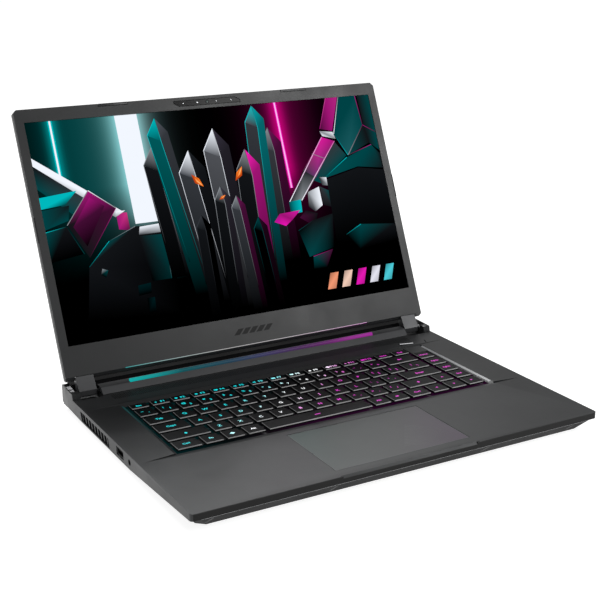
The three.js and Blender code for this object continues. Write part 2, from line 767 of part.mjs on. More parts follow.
function rearPort({ x, width, height }) {
  const [halfWide, halfHigh] = [width / 2, height / 2];
  const shell = box(
    x - halfWide - PORT_WALL,
    x + halfWide + PORT_WALL,
    257,
    TAIL_REAR_Y - 0.4,
    REAR_PORT_Z - halfHigh - PORT_WALL,
    REAR_PORT_Z + halfHigh + PORT_WALL,
  );
  const mouth = box(
    x - halfWide,
    x + halfWide,
    258,
    275,
    REAR_PORT_Z - halfHigh,
    REAR_PORT_Z + halfHigh,
  );
  return cut(shell, mouth);
}

function powerInlet() {
  const { x, width } = REAR_PORTS.power;
  const half = width / 2 + PORT_WALL;
  const body = box(x - half, x + half, 257, TAIL_REAR_Y - 0.4, REAR_PORT_Z - half, REAR_PORT_Z + half);
  return body.subtract(cylinderY(width / 2, 259, 275, x, REAR_PORT_Z, 16));
}

// ---- Lid, drawn upright round the hinge axis ----

// The lid's outline in X and Z with cut corners and a notch over each hinge.
function lidOutline(inset) {
  const side = HALF_WIDTH - inset;
  const [low, high] = [LID.bottom + inset, LID.top - inset];
  const notchInner = HINGE_LEFT_X - GAP - inset;
  const notchOuter = HINGE_RIGHT_X + GAP + inset;
  const notchTop = CAP_HEIGHT + GAP + inset;
  const right = [
    [notchInner, low],
    [notchInner, notchTop],
    [notchOuter, notchTop],
    [notchOuter, low],
    [side - LID_FOOT_CORNER, low],
    [side, low + LID_FOOT_CORNER],
    [side, high - LID_CORNER],
    [side - LID_CORNER, high],
  ];
  const left = right.map(([x, z]) => [-x, z]).reverse();
  return [...right, ...left];
}

function lidCover() {
  const outer = prismY(lidOutline(0), LID.seam, LID.back);
  const inside = box(
    -HALF_WIDTH + LID_SKIN,
    HALF_WIDTH - LID_SKIN,
    LID.seam - 1,
    LID.back - LID_SKIN,
    CAP_HEIGHT + GAP + LID_SKIN,
    LID.top - LID_SKIN,
  );
  const armRooms = bothSides((side) => sideBox(side, 156.6, 170.6, 0, 3.4, 5, 20));
  const lip = prismX(
    [
      [LID.seam - 1, LID.bottom - 1],
      [LID.seam + 1.4, LID.bottom - 1],
      [LID.seam + 1.4, LID.bottom],
      [LID.seam - 1, LID.bottom + 2.4],
    ],
    -HALF_WIDTH,
    HALF_WIDTH,
  );
  return cut(outer, inside, ...armRooms, lip);
}

function displayBezel() {
  const outer = prismY(lidOutline(0.2), LID.face, LID.seam - GAP);
  const screen = box(-SCREEN.halfWidth, SCREEN.halfWidth, -5, 5, SCREEN.bottom, SCREEN.top);
  const chinLip = prismX(
    [
      [LID.face - 1, LID.bottom - 1],
      [LID.face + CHIN_LIP + 1, LID.bottom - 1],
      [LID.face, LID.bottom + CHIN_LIP],
      [LID.face - 1, LID.bottom + CHIN_LIP + 1],
    ],
    -HALF_WIDTH,
    HALF_WIDTH,
  );
  const bumperRooms = bothSides((side) =>
    sideBox(side, BUMPER.near - GAP, BUMPER.far + GAP, -5, 5, BUMPER.bottom - GAP, 250),
  );
  return cut(outer, screen, chinLip, webcamOutline(GAP, -5, 5), ...bumperRooms);
}

// The camera window: a strip with its lower left and upper right corners cut away.
function webcamOutline(grow, y0, y1) {
  const side = WEBCAM.halfWidth + grow;
  const [low, high] = [WEBCAM.bottom - grow, WEBCAM.top + grow];
  const slant = 5;
  const outline = [
    [-side + slant, low],
    [side, low],
    [side, high - 3],
    [side - slant, high],
    [-side, high],
    [-side, low + 3],
  ];
  return prismY(outline, y0, y1);
}

function webcamModule() {
  const board = box(-29, 29, 0, 2.8, WEBCAM.bottom + 0.6, WEBCAM.top - 0.6);
  return webcamOutline(0, LID.face + 0.05, 0.3).add(board);
}

function lcdPanel() {
  return box(-SCREEN.halfWidth - 3, SCREEN.halfWidth + 3, LID.seam, 3.6, 33.5, SCREEN.top + 2.2);
}

// The cylinder along the hinge axis from |x| = near to |x| = far on one side.
function axisRod(side, radius, near, far, sides) {
  return side < 0
    ? cylinderX(radius, -far, -near, 0, 0, sides)
    : cylinderX(radius, near, far, 0, 0, sides);
}

function hingeArm(side) {
  const barrel = axisRod(side, BARREL_RADIUS, HINGE_LEFT_X, HINGE_RIGHT_X, 16);
  const pin = axisRod(side, PIN_RADIUS, PIN_END_X, HINGE_LEFT_X + 1, 12);
  const leaf = sideBox(side, 157.2, 170, 0.9, 2.2, -0.5, 22);
  const foot = sideBox(side, 142, 170, 0.9, 2.2, 17, 31.5);
  return join(barrel, pin, leaf, foot);
}

// The cap wraps the hinge barrel: its face comes forward towards its foot.
function hingeCap(side) {
  const section = [
    [-1.15, CAP_HEIGHT],
    [-3.5, 0.6],
    [-1.75, -3.5],
    [3.2, -3.5],
    [LID.back, 0],
    [LID.back, CAP_HEIGHT],
  ];
  const [x0, x1] = side < 0 ? [-HINGE_RIGHT_X, -HINGE_LEFT_X] : [HINGE_LEFT_X, HINGE_RIGHT_X];
  const room = sideBox(side, 156.8, 170.4, 0.5, 2.6, -1, CAP_HEIGHT + 1);
  return cut(prismX(section, x0, x1), room, axisRod(side, CAP_BORE, 150, 180, 20));
}

const lidBumper = (side) =>
  sideBox(side, BUMPER.near, BUMPER.far, LID.face - 0.35, LID.seam - GAP, BUMPER.bottom, LID.top - 0.2);

// ---- Assembly ----

const named = (stem, make, material) => [
  part(`${stem}_left`, make(-1), material),
  part(`${stem}_right`, make(1), material),
];

const base = new THREE.Group();
base.add(
  part("top_case", topCase(), DECK_METAL),
  part("bottom_cover", bottomCover(), SHELL_PLASTIC),
  part("rear_cover", rearCover(), SHELL_PLASTIC),
  part("front_foot", foot(FRONT_FOOT), RUBBER),
  part("rear_foot", foot(REAR_FOOT), RUBBER),
  part("hinge_bar", hingeBar(), BEZEL_PLASTIC),
  part("light_bar", lightBar(), DIFFUSER),
  ...named("hinge_bracket", hingeBracket, STEEL),
  part("keyboard_plate", keyboardPlate(), BLACK_PLASTIC),
  part("touchpad", touchpad(), SCREEN_GLASS),
  part("power_button", powerButton(), STEEL),
  part("motherboard", motherboard(), BOARD),
  part("heat_pipes", heatPipes(), COPPER),
  ...named("heatsink", heatsink, COPPER),
  ...named("fan_housing", fanHousing, BLACK_PLASTIC),
  ...named("fan_impeller", fanImpeller, BLACK_PLASTIC),
  part("battery_pack", battery(), BLACK_PLASTIC),
  part("solid_state_drive", solidStateDrive(), BOARD),
  part("memory_module", memoryModule(), BOARD),
  ...named("speaker", speaker, BLACK_PLASTIC),
  part("vent_grille", ventGrille(), BLACK_PLASTIC),
  part("usb_a_port_left", sidePort(-1, USB_A_LEFT), STEEL),
  part("audio_jack", audioJack(), BLACK_PLASTIC),
  part("usb_a_port_right", sidePort(1, USB_A_RIGHT), STEEL),
  part("usb_c_port_right", sidePort(1, USB_C_RIGHT), STEEL),
  part("ethernet_port", rearPort(REAR_PORTS.ethernet), STEEL),
  part("hdmi_port", rearPort(REAR_PORTS.hdmi), STEEL),
  part("power_inlet", powerInlet(), BLACK_PLASTIC),
);
for (const [name, solid] of Object.entries(keyGroups())) {
  base.add(part(name, solid, BLACK_PLASTIC));
}

const lid = new THREE.Group();
lid.add(
  part("lid_cover", lidCover(), DECK_METAL),
  part("display_bezel", displayBezel(), BEZEL_PLASTIC),
  part("lcd_panel", lcdPanel(), SCREEN_GLASS),
  part("webcam_module", webcamModule(), BLACK_PLASTIC),
  ...named("hinge_arm", hingeArm, STEEL),
  ...named("hinge_cap", hingeCap, BEZEL_PLASTIC),
  ...named("lid_bumper", lidBumper, RUBBER),
);
lid.position.set(0, AXIS.y, AXIS.z);
lid.rotation.x = THREE.MathUtils.degToRad(90 - OPEN_ANGLE);

const laptop = new THREE.Group();
laptop.add(base, lid);
laptop.position.z = DECK_HEIGHT;
const bounds = new THREE.Box3().setFromObject(laptop);
laptop.position.y = -(bounds.min.y + bounds.max.y) / 2;

export default laptop;
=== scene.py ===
"""Looks of an open gaming laptop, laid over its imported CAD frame.

Deck space is millimetres from the middle of the deck's front edge, with z up from the deck's top.
Lid space is millimetres round the hinge axis with the lid upright, and z up along the lid.
"""
import json
import math

import bmesh
import bpy
from mathutils import Matrix, Vector

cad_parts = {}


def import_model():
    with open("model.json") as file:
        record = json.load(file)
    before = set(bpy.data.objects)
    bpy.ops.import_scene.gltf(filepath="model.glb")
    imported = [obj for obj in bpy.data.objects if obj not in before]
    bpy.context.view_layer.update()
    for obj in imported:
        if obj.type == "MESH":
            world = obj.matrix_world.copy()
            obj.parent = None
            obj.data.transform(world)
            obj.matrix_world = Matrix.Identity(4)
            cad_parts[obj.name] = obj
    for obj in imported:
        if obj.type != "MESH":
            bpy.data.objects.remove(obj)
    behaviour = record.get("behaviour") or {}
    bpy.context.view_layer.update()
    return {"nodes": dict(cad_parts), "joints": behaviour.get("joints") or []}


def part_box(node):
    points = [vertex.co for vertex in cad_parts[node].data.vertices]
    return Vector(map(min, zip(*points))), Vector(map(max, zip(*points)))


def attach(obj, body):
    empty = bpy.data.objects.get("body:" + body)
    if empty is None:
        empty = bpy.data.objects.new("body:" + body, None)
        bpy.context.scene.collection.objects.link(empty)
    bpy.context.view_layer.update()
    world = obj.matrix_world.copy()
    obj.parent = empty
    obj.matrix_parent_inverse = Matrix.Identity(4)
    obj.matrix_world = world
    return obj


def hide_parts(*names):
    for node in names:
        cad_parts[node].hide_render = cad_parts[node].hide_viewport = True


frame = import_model()
scene = bpy.context.scene
NODES = frame["nodes"]

# ---- Places read from the frame, in metres ----

HINGE = next(j for j in frame["joints"] if j["name"] == "lid_hinge")["pos_m"]
FRONT_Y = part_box("top_case")[0].y
DECK_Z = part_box("touchpad")[1].z + 0.00015
OPEN_ANGLE = 114
LID_LEAN = math.radians(90 - OPEN_ANGLE)
DECK = Matrix.Translation((0, FRONT_Y, DECK_Z)) @ Matrix.Scale(0.001, 4)
LID = Matrix.Translation(HINGE) @ Matrix.Rotation(LID_LEAN, 4, "X") @ Matrix.Scale(0.001, 4)

# ---- Sizes named in the CAD, in millimetres ----

KEY_PITCH = 18.35
KEY_FRONT_Y = 101
KEY_LEFT_X = -145.6
KEY_RIGHT_X = 127
NAV_RIGHT_X = 145.2
FUNCTION_DEPTH = 12.25
KEY_MARGIN = 1.35
CAP_TAPER = 0.7
CAP_SLOPE_DROP = 0.85
LEFT_MODIFIERS = [KEY_LEFT_X, -121.9, -103.6, -85.4, -67.3]
RIGHT_MODIFIERS = [31.6, 49.95, 68.3, 90.2]
DOWN_ARROW_X = 108.6
ARROW_EDGES = [RIGHT_MODIFIERS[-1], DOWN_ARROW_X, KEY_RIGHT_X, NAV_RIGHT_X]
NAV_EDGES = [KEY_RIGHT_X + 0.4, NAV_RIGHT_X]
CAP_TOP_Z = -0.25
SCREEN_HALF = 172.1
SCREEN_LOW = 39.81
SCREEN_HIGH = 233.41
GRILLE = {"half": 150, "front": 220.6, "rear": 233.4, "top": 0, "bottom": -1.2}
LIGHT_LEFT_X = -126.5
LIGHT_RIGHT_X = 117.5
LIP_Y = -0.74
LIP_H = 13.75
PAD_BOX = {"half": 60, "front": 11.15, "rear": 84.5, "top": -0.15}
USB_Z = -5.6
AUDIO_JACK = (110.6, -5.8)
CAMERA_H = 239.1
WELL_SLOPE = {"low": (146.2, -1.8), "high": (149.6, 0), "front": 100, "rear": 204}


# ---- Node materials ----

def new_material(name):
    mat = bpy.data.materials.new(name)
    mat.use_nodes = True
    return mat, mat.node_tree, mat.node_tree.nodes["Principled BSDF"]


def feed(tree, made, inputs):
    """Sets a node's inputs. Each is a plain value, or another node's output to link."""
    for key, value in inputs.items():
        if isinstance(value, bpy.types.NodeSocket):
            tree.links.new(value, made.inputs[key])
        else:
            made.inputs[key].default_value = value


def node(tree, kind, output, inputs, **settings):
    """Makes a node and gives one of its outputs."""
    made = tree.nodes.new(kind)
    for key, value in settings.items():
        setattr(made, key, value)
    feed(tree, made, inputs)
    return made.outputs[output]


def object_coords(tree):
    return node(tree, "ShaderNodeTexCoord", "Object", {})


def noise(tree, scale, detail=3.0, stretch=None):
    """A noise in object space; scale is in features per metre."""
    coords = object_coords(tree)
    if stretch:
        coords = node(tree, "ShaderNodeMapping", "Vector", {"Vector": coords, "Scale": stretch})
    return node(tree, "ShaderNodeTexNoise", "Fac", {"Vector": coords, "Scale": scale, "Detail": detail})


def ramp(tree, source, stops):
    """Colours along a value. Each stop is (position, (r, g, b))."""
    made = tree.nodes.new("ShaderNodeValToRGB")
    elements = made.color_ramp.elements
    while len(elements) < len(stops):
        elements.new(0.5)
    for element, (position, color) in zip(elements, stops):
        element.position = position
        element.color = (*color, 1)
    tree.links.new(source, made.inputs["Fac"])
    return made.outputs["Color"]


def scaled(color, factor):
    return tuple(min(1.0, c * factor) for c in color)


def map_range(tree, source, low, high, to_low, to_high):
    inputs = {"Value": source, "From Min": low, "From Max": high, "To Min": to_low, "To Max": to_high}
    return node(tree, "ShaderNodeMapRange", "Result", inputs)


def mixed(tree, factor, a, b, blend="MIX"):
    inputs = {"Factor": factor, "A": a, "B": b}
    return node(tree, "ShaderNodeMix", "Result", inputs, data_type="RGBA", blend_type=blend)


def bump(tree, height, strength, distance):
    inputs = {"Height": height, "Strength": strength, "Distance": distance}
    return node(tree, "ShaderNodeBump", "Normal", inputs)


def surface(name, color, roughness, metallic=0.0, cloud=0.08, cloud_scale=45.0, spread=0.06,
            grain=2600.0, depth=0.00004, stretch=None, ior=1.5, painted_edge_highlight=0.0, specular=0.5, shade=None):
    """A moulded, blasted or brushed surface: cloudy colour and gloss, fine grain, and convex edges lightened
    as a painted highlight.
    """
    mat, tree, shader = new_material(name)
    clouds = noise(tree, cloud_scale, 4.0, stretch)
    tint = ramp(tree, clouds, [(0.3, scaled(color, 1 - cloud)), (0.7, scaled(color, 1 + cloud))])
    # Convex edges found by pointiness are lightened: a painted highlight along the edges.
    if painted_edge_highlight:
        pointiness = node(tree, "ShaderNodeNewGeometry", "Pointiness", {})
        edge = map_range(tree, pointiness, 0.52, 0.62, 0.0, painted_edge_highlight)
        tint = mixed(tree, edge, tint, (*scaled(color, 3.0), 1))
    if shade:
        tint = shade(tree, tint)
    smudge = noise(tree, cloud_scale * 0.6, 5.0)
    feed(tree, shader, {
        "Base Color": tint,
        "Roughness": map_range(tree, smudge, 0.3, 0.7, roughness - spread, roughness + spread),
        "Metallic": metallic,
        "IOR": ior,
        "Specular IOR Level": specular,
        "Normal": bump(tree, noise(tree, grain, 2.0, stretch), 0.35, depth),
    })
    return mat


def along(tree, direction, offset):
    """A coordinate in deck millimetres along a direction."""
    vectors = {0: object_coords(tree), 1: [1000 * d for d in direction]}
    dot = node(tree, "ShaderNodeVectorMath", "Value", vectors, operation="DOT_PRODUCT")
    return node(tree, "ShaderNodeMath", "Value", {0: dot, 1: offset}, operation="ADD")


def painted_shade_front_face(tree, tint):
    """Painted shade: blackens the narrow upright face along the deck's front edge, below its rounding."""
    def past(axis, low, high):
        place = node(tree, "ShaderNodeSeparateXYZ", axis, {"Vector": object_coords(tree)})
        return map_range(tree, place, low, high, 0, 1)
    behind = past("Y", FRONT_Y + 0.0001, FRONT_Y + 0.0003)
    above = past("Z", DECK_Z - 0.0006, DECK_Z - 0.0003)
    either = node(tree, "ShaderNodeMath", "Value", {0: behind, 1: above}, operation="MAXIMUM")
    return mixed(tree, either, (0.002, 0.002, 0.002, 1), tint)


CYAN = (0.0, 0.62, 0.66)
PALE_CYAN = (0.35, 0.85, 0.9)
WHITE = (0.9, 0.92, 0.95)
PINK = (0.9, 0.35, 0.85)
MAGENTA = (0.62, 0.02, 0.5)


def across_keys(tree):
    """0 at the keyboard's rear left and 1 at its front right."""
    lean = 1.1
    place = along(tree, (1, -lean, 0), lean * (FRONT_Y * 1000 + 150))
    return map_range(tree, place, -100, 60, 0, 1)


def along_strip(tree):
    """0 at the light strip's left end and 1 at its right end."""
    return map_range(tree, along(tree, (1, 0, 0), 0), LIGHT_LEFT_X, LIGHT_RIGHT_X, 0, 1)


def backlight_color(tree):
    """Cyan at the rear left through white to magenta at the front right, as zones of the backlight."""
    stops = [(0.1, CYAN), (0.28, PALE_CYAN), (0.42, WHITE), (0.53, WHITE), (0.62, PINK), (0.76, MAGENTA)]
    return ramp(tree, across_keys(tree), stops)


def glowing(name, strength, color_source, base=(0.02, 0.02, 0.02), roughness=0.4, specular=0.5):
    """A surface that gives off light, with fine grain."""
    mat, tree, shader = new_material(name)
    feed(tree, shader, {
        "Base Color": (*base, 1),
        "Roughness": roughness,
        "Specular IOR Level": specular,
        "Emission Strength": strength,
        "Emission Color": color_source(tree),
        "Normal": bump(tree, noise(tree, 3000, 2.0), 0.15, 0.00002),
    })
    return mat


def strip_color(tree):
    """Along the light strip: cyan, teal blue, violet and magenta."""
    stops = [
        (0.0, (0.0, 0.75, 0.72)),
        (0.09, (0.0, 0.55, 0.55)),
        (0.2, (0.0, 0.16, 0.19)),
        (0.38, (0.02, 0.09, 0.15)),
        (0.52, (0.07, 0.07, 0.2)),
        (0.68, (0.12, 0.03, 0.17)),
        (0.8, (0.22, 0.02, 0.24)),
        (0.9, (0.5, 0.03, 0.46)),
        (1.0, (0.62, 0.02, 0.56)),
    ]
    return ramp(tree, along_strip(tree), stops)


def plate_color(tree):
    """Stray light under the keys: hardly any cyan, and a little magenta."""
    stops = [(0.05, (0.0, 0.05, 0.055)), (0.3, (0.004, 0.012, 0.013)), (0.55, (0.02, 0.01, 0.02)),
             (0.8, (0.075, 0.004, 0.065))]
    return ramp(tree, across_keys(tree), stops)


def lip_reflection_color(tree):
    """The strip's light painted on the lid's lower lip as a reflection, paler than the strip."""
    stops = [(0.0, (0.0, 0.4, 0.4)), (0.12, (0.25, 0.45, 0.45)), (0.35, (0.5, 0.5, 0.5)),
             (0.65, (0.45, 0.42, 0.45)), (0.9, (0.45, 0.2, 0.42)), (1.0, (0.4, 0.03, 0.36))]
    return ramp(tree, along_strip(tree), stops)


def cyan_spill(tree):
    """Cyan light at the rear of the keyboard opening's left edge, fading towards the front."""
    place = map_range(tree, along(tree, (0, 1, 0), -FRONT_Y * 1000), 130, 204, 0, 1)
    return ramp(tree, place, [(0.0, (0.0, 0.0, 0.0)), (1.0, (0.0, 0.5, 0.52))])


def button_glow(tree):
    return ramp(tree, noise(tree, 300.0), [(0.3, (0.8, 0.81, 0.84)), (0.7, (0.95, 0.96, 0.98))])


def pad_painted_light_casts(tree, tint):
    """Painted light: a green cast at the touchpad's rear left corner, and a violet one at its front right
    corner.
    """
    across = along(tree, (1, -0.55, 0), 0.55 * (FRONT_Y * 1000 + 48))
    cast = ramp(tree, map_range(tree, across, -75, 75, 0, 1), [
        (0.0, (0.6, 1.15, 1.0)), (0.3, (0.9, 1.05, 1.0)), (0.6, (1.0, 1.0, 1.0)), (1.0, (1.25, 0.85, 1.3)),
    ])
    return mixed(tree, 1.0, tint, cast, "MULTIPLY")


def picture_color(tree):
    return node(tree, "ShaderNodeVertexColor", "Color", {}, layer_name="paint")


DECK_METAL = surface("deck_metal", (0.028, 0.029, 0.030), 0.38, 0.3, cloud=0.07, painted_edge_highlight=0.25, specular=0.45)
# The top case's front face is painted black as shade.
TOP_METAL = surface("top_case_metal", (0.028, 0.029, 0.030), 0.38, 0.3, cloud=0.07, painted_edge_highlight=0.25, specular=0.3,
                    shade=painted_shade_front_face)
SHELL = surface("shell_plastic", (0.010, 0.010, 0.0105), 0.6, 0.0, grain=1800, depth=0.00006, specular=0.1)
BEZEL = surface("bezel_plastic", (0.017, 0.018, 0.019), 0.4, 0.0, grain=2000, painted_edge_highlight=0.2)
CAP = surface("hinge_plastic", (0.06, 0.061, 0.064), 0.38, 0.3, grain=2200, painted_edge_highlight=0.3)
BAR = surface("hinge_bar_plastic", (0.06, 0.061, 0.064), 0.4, 0.3, grain=2200, painted_edge_highlight=0.3)
PORT_STEEL = surface("port_steel", (0.05, 0.05, 0.052), 0.35, 1.0, cloud=0.1, grain=900)
# A lighter grey for the front notches: painted highlight on real notch lines.
PORT_MARK = surface("port_mark", (0.3, 0.3, 0.3), 0.6, cloud=0.05)
SLANT_HIGHLIGHT = surface("slant_notch_highlight", (0.09, 0.09, 0.092), 0.5, cloud=0.05)
SLANT_DARK = surface("slant_dark", (0.006, 0.006, 0.0065), 0.45, cloud=0.05, specular=0.25)
KEY = surface("key_plastic", (0.004, 0.0042, 0.0048), 0.4, grain=1700, depth=0.00005, painted_edge_highlight=0.1, specular=0.1)
# A pale grey for the keycaps' edge highlights: painted highlight.
KEY_HIGHLIGHT = surface("key_edge_highlight", (0.3, 0.3, 0.305), 0.35, grain=1700, depth=0.00003)
BLACK = surface("black_plastic", (0.010, 0.010, 0.011), 0.45, grain=1500, specular=0.35)
DARK = surface("vent_black", (0.003, 0.003, 0.0035), 0.7, grain=1500, specular=0.1)
REAR = surface("rear_plastic", (0.005, 0.005, 0.0055), 0.7, grain=1500, specular=0.05)
RUBBER = surface("rubber", (0.012, 0.012, 0.013), 0.8, grain=1200, depth=0.0001, specular=0.3)
STEEL = surface("steel", (0.5, 0.51, 0.53), 0.3, 1.0, cloud=0.05, grain=900, stretch=(1, 12, 12),
                depth=0.00003)
SHIELD = surface("shield_steel", (0.3, 0.3, 0.31), 0.4, 1.0, cloud=0.08, grain=700, depth=0.00004)
# A pale grey that stands for bright reflections on thin edges: painted highlight.
HIGHLIGHT_TRIM = surface("painted_highlight_trim", (0.42, 0.43, 0.44), 0.35, 0.0, cloud=0.05, grain=1200, depth=0.00002)
# The touchpad's lighter rim is a painted highlight.
PAD_RIM_HIGHLIGHT = surface("pad_rim_highlight", (0.13, 0.135, 0.14), 0.3, 0.3, cloud=0.05, grain=1200, depth=0.00002)
COPPER = surface("copper", (0.62, 0.27, 0.14), 0.32, 1.0, cloud=0.2, grain=700)
GOLD = surface("contact_gold", (0.75, 0.52, 0.2), 0.25, 1.0, cloud=0.1, grain=900)
BOARD = surface("circuit_board", (0.012, 0.045, 0.024), 0.4, cloud=0.35, cloud_scale=260, grain=900)
WRAP = surface("battery_wrap", (0.015, 0.015, 0.017), 0.35, cloud=0.2, grain=300, depth=0.0001)
GLASS = surface("panel_glass", (0.003, 0.003, 0.0035), 0.16, cloud=0.1, spread=0.03, grain=1500,
                depth=0.00001, specular=0.1)
# The touchpad's colour casts are painted light.
PAD = surface("touchpad_glass", (0.050, 0.052, 0.053), 0.34, cloud=0.04, spread=0.03, grain=2500,
              depth=0.00001, ior=1.47, shade=pad_painted_light_casts)
PAD_RIBS = surface("touchpad_ribs", (0.085, 0.083, 0.09), 0.3, cloud=0.04, grain=2500, depth=0.00001)
BUTTON_METAL = surface("button_metal", (0.012, 0.012, 0.013), 0.35, 0.3, grain=900, stretch=(1, 14, 14))
BUTTON_LIGHT = glowing("button_light", 0.6, button_glow, (0.5, 0.5, 0.52), 0.3)
SPILL = glowing("cyan_painted_spill", 0.12, cyan_spill, (0.012, 0.014, 0.015), 0.5, specular=0.2)
LIGHT = glowing("light_diffuser", 0.5, strip_color, (0.01, 0.012, 0.015), 0.3, specular=0.15)
# The lid lip's glow is a painted reflection of the light strip.
LIP_REFLECTION = glowing("lip_painted_reflection", 0.7, lip_reflection_color, (0.1, 0.1, 0.1), 0.2)
LEGEND = glowing("legend_light", 1.25, backlight_color)
PLATE = glowing("lit_plate", 0.22, plate_color, (0.004, 0.004, 0.004), specular=0.2)
PICTURE = glowing("screen_picture", 1.0, picture_color, (0.0, 0.0, 0.0), 0.2, specular=0.0)


# ---- Mesh helpers ----

def add_box(bm, x0, x1, y0, y1, z0, z1, material=0):
    corners = [(x, y, z) for z in (z0, z1) for y in (y0, y1) for x in (x0, x1)]
    v = [bm.verts.new(c) for c in corners]
    for quad in ((0, 2, 3, 1), (4, 5, 7, 6), (0, 1, 5, 4), (2, 6, 7, 3), (0, 4, 6, 2), (1, 3, 7, 5)):
        face = bm.faces.new([v[k] for k in quad])
        face.material_index = material


def side_box(bm, side, near, far, y0, y1, z0, z1, material=0):
    """A box between two distances from the middle, on the left for side -1 and on the right for side 1."""
    x0, x1 = sorted((side * near, side * far))
    add_box(bm, x0, x1, y0, y1, z0, z1, material)


def add_prism(bm, outline, place, material=0):
    """A closed prism: place(u, v, end) gives the corner for an outline point at end 0 or 1."""
    count = len(outline)
    near = [bm.verts.new(place(u, v, 0)) for u, v in outline]
    far = [bm.verts.new(place(u, v, 1)) for u, v in outline]
    faces = [bm.faces.new(near[::-1]), bm.faces.new(far)]
    for k in range(count):
        n = (k + 1) % count
        faces.append(bm.faces.new((near[k], near[n], far[n], far[k])))
    for face in faces:
        face.material_index = material


def ring_points(radius, sides, turn=0.0):
    step = 2 * math.pi / sides
    return [(radius * math.cos(turn + k * step), radius * math.sin(turn + k * step)) for k in range(sides)]


def add_lathe(bm, profile, place, sides=24, material=0):
    """A turned solid: profile is (radius, height) from axis to axis; place maps (u, v, height)."""
    rings = []
    for radius, height in profile:
        if radius < 1e-6:
            rings.append([bm.verts.new(place(0, 0, height))])
        else:
            rings.append([bm.verts.new(place(u, v, height)) for u, v in ring_points(radius, sides)])
    for low, high in zip(rings, rings[1:]):
        for k in range(sides):
            n = (k + 1) % sides
            quad = [low[k % len(low)], low[n % len(low)], high[n % len(high)], high[k % len(high)]]
            corners = list(dict.fromkeys(quad))
            if len(corners) > 2:
                bm.faces.new(corners).material_index = material


def piece(name, bm, body, materials, bevel=0.0):
    """A finished piece from a mesh drawn in lid space for the lid, and in deck space for other bodies."""
    bmesh.ops.recalc_face_normals(bm, faces=bm.faces)
    bmesh.ops.transform(bm, matrix=LID if body == "lid" else DECK, verts=bm.verts)
    mesh = bpy.data.meshes.new(name)
    bm.to_mesh(mesh)
    bm.free()
    for mat in materials:
        mesh.materials.append(mat)
    obj = bpy.data.objects.new(name, mesh)
    scene.collection.objects.link(obj)
    if bevel:
        round_edges(obj, bevel)
    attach(obj, body)
    return obj


def round_edges(obj, width, segments=2, angle=30):
    made = obj.modifiers.new("rounded edges", "BEVEL")
    made.width = width * 0.001
    made.segments = segments
    made.limit_method = "ANGLE"
    made.angle_limit = math.radians(angle)
    made.harden_normals = False


def dress(name, material, bevel=0.25):
    """Gives a CAD node its material, and rounds its edges."""
    obj = NODES[name]
    obj.data.materials.clear()
    obj.data.materials.append(material)
    if bevel:
        weld = obj.modifiers.new("weld", "WELD")
        weld.merge_threshold = 1e-6
        planar = obj.modifiers.new("planar", "DECIMATE")
        planar.decimate_type = "DISSOLVE"
        planar.angle_limit = math.radians(1)
        round_edges(obj, bevel)


# ---- Glyphs ----

GLYPHS = {}


def glyph(text, size):
    """The corners and faces of some text, in millimetres, centred on its own box."""
    key = (text, size)
    if key not in GLYPHS:
        curve = bpy.data.curves.new("glyph", "FONT")
        curve.body = text
        curve.size = size
        curve.extrude = 0.012
        curve.offset = 0.09
        curve.resolution_u = 3
        holder = bpy.data.objects.new("glyph", curve)
        mesh = bpy.data.meshes.new_from_object(holder)
        points = [v.co.copy() for v in mesh.vertices]
        faces = [tuple(p.vertices) for p in mesh.polygons]
        middle = Vector((
            (min(p.x for p in points) + max(p.x for p in points)) / 2,
            (min(p.y for p in points) + max(p.y for p in points)) / 2,
            0,
        ))
        GLYPHS[key] = ([p - middle for p in points], faces)
        bpy.data.objects.remove(holder)
        bpy.data.curves.remove(curve)
        bpy.data.meshes.remove(mesh)
    return GLYPHS[key]


def add_text(bm, text, size, x, y):
    points, faces = glyph(text, size)
    verts = [bm.verts.new((x + p.x, y + p.y, CAP_TOP_Z + 0.03 + p.z)) for p in points]
    for corners in faces:
        try:
            bm.faces.new([verts[k] for k in corners])
        except ValueError:
            pass


def add_icon(bm, outline, x, y, scale=1.0):
    z0, z1 = CAP_TOP_Z + 0.015, CAP_TOP_Z + 0.04
    add_prism(bm, outline, lambda u, v, end: (x + u * scale, y + v * scale, z1 if end else z0))


ARROW = [(-1.7, 0), (-0.3, 1.2), (-0.3, 0.4), (1.7, 0.4), (1.7, -0.4), (-0.3, -0.4), (-0.3, -1.2)]
SHIFT = [(0, 1.5), (-1.5, 0), (-0.7, 0), (-0.7, -1.3), (0.7, -1.3), (0.7, 0), (1.5, 0)]
POINTER = [(-1.1, -0.9), (1.1, -0.9), (0, 1.1)]
DIAMOND = [(0, -1.6), (1.9, 0), (0, 1.6), (-1.9, 0)]
MENU = [(-1.4, -1), (1.4, -1), (1.4, 1), (-1.4, 1)]
SPEAKER = [(-1.3, -0.5), (-0.5, -0.5), (0.6, -1.2), (0.6, 1.2), (-0.5, 0.5), (-1.3, 0.5)]
SUN = ring_points(1.0, 8)
SCREEN_ICON = [(-1.3, -0.6), (-0.4, -0.6), (-0.4, -1.1), (0.4, -1.1),
               (0.4, -0.6), (1.3, -0.6), (1.3, 1.1), (-1.3, 1.1)]
BOLT = [(0.4, 1.3), (-0.9, -0.2), (0, -0.2), (-0.4, -1.3), (0.9, 0.2), (0, 0.2)]
FUNCTION_ICONS = [BOLT, SUN, SUN, SCREEN_ICON, SPEAKER, SPEAKER, MENU, SCREEN_ICON, SUN, DIAMOND, BOLT, MENU]
SPACE_MARK = [(-2.6, -0.5), (2.6, -0.5), (2.6, 0.5), (-2.6, 0.5)]


def turned(outline, quarter_turns):
    for _ in range(quarter_turns % 4):
        outline = [(-v, u) for u, v in outline]
    return outline


# ---- Keyboard ----

def even_edges(start, count):
    return [start + k * KEY_PITCH for k in range(count + 1)]


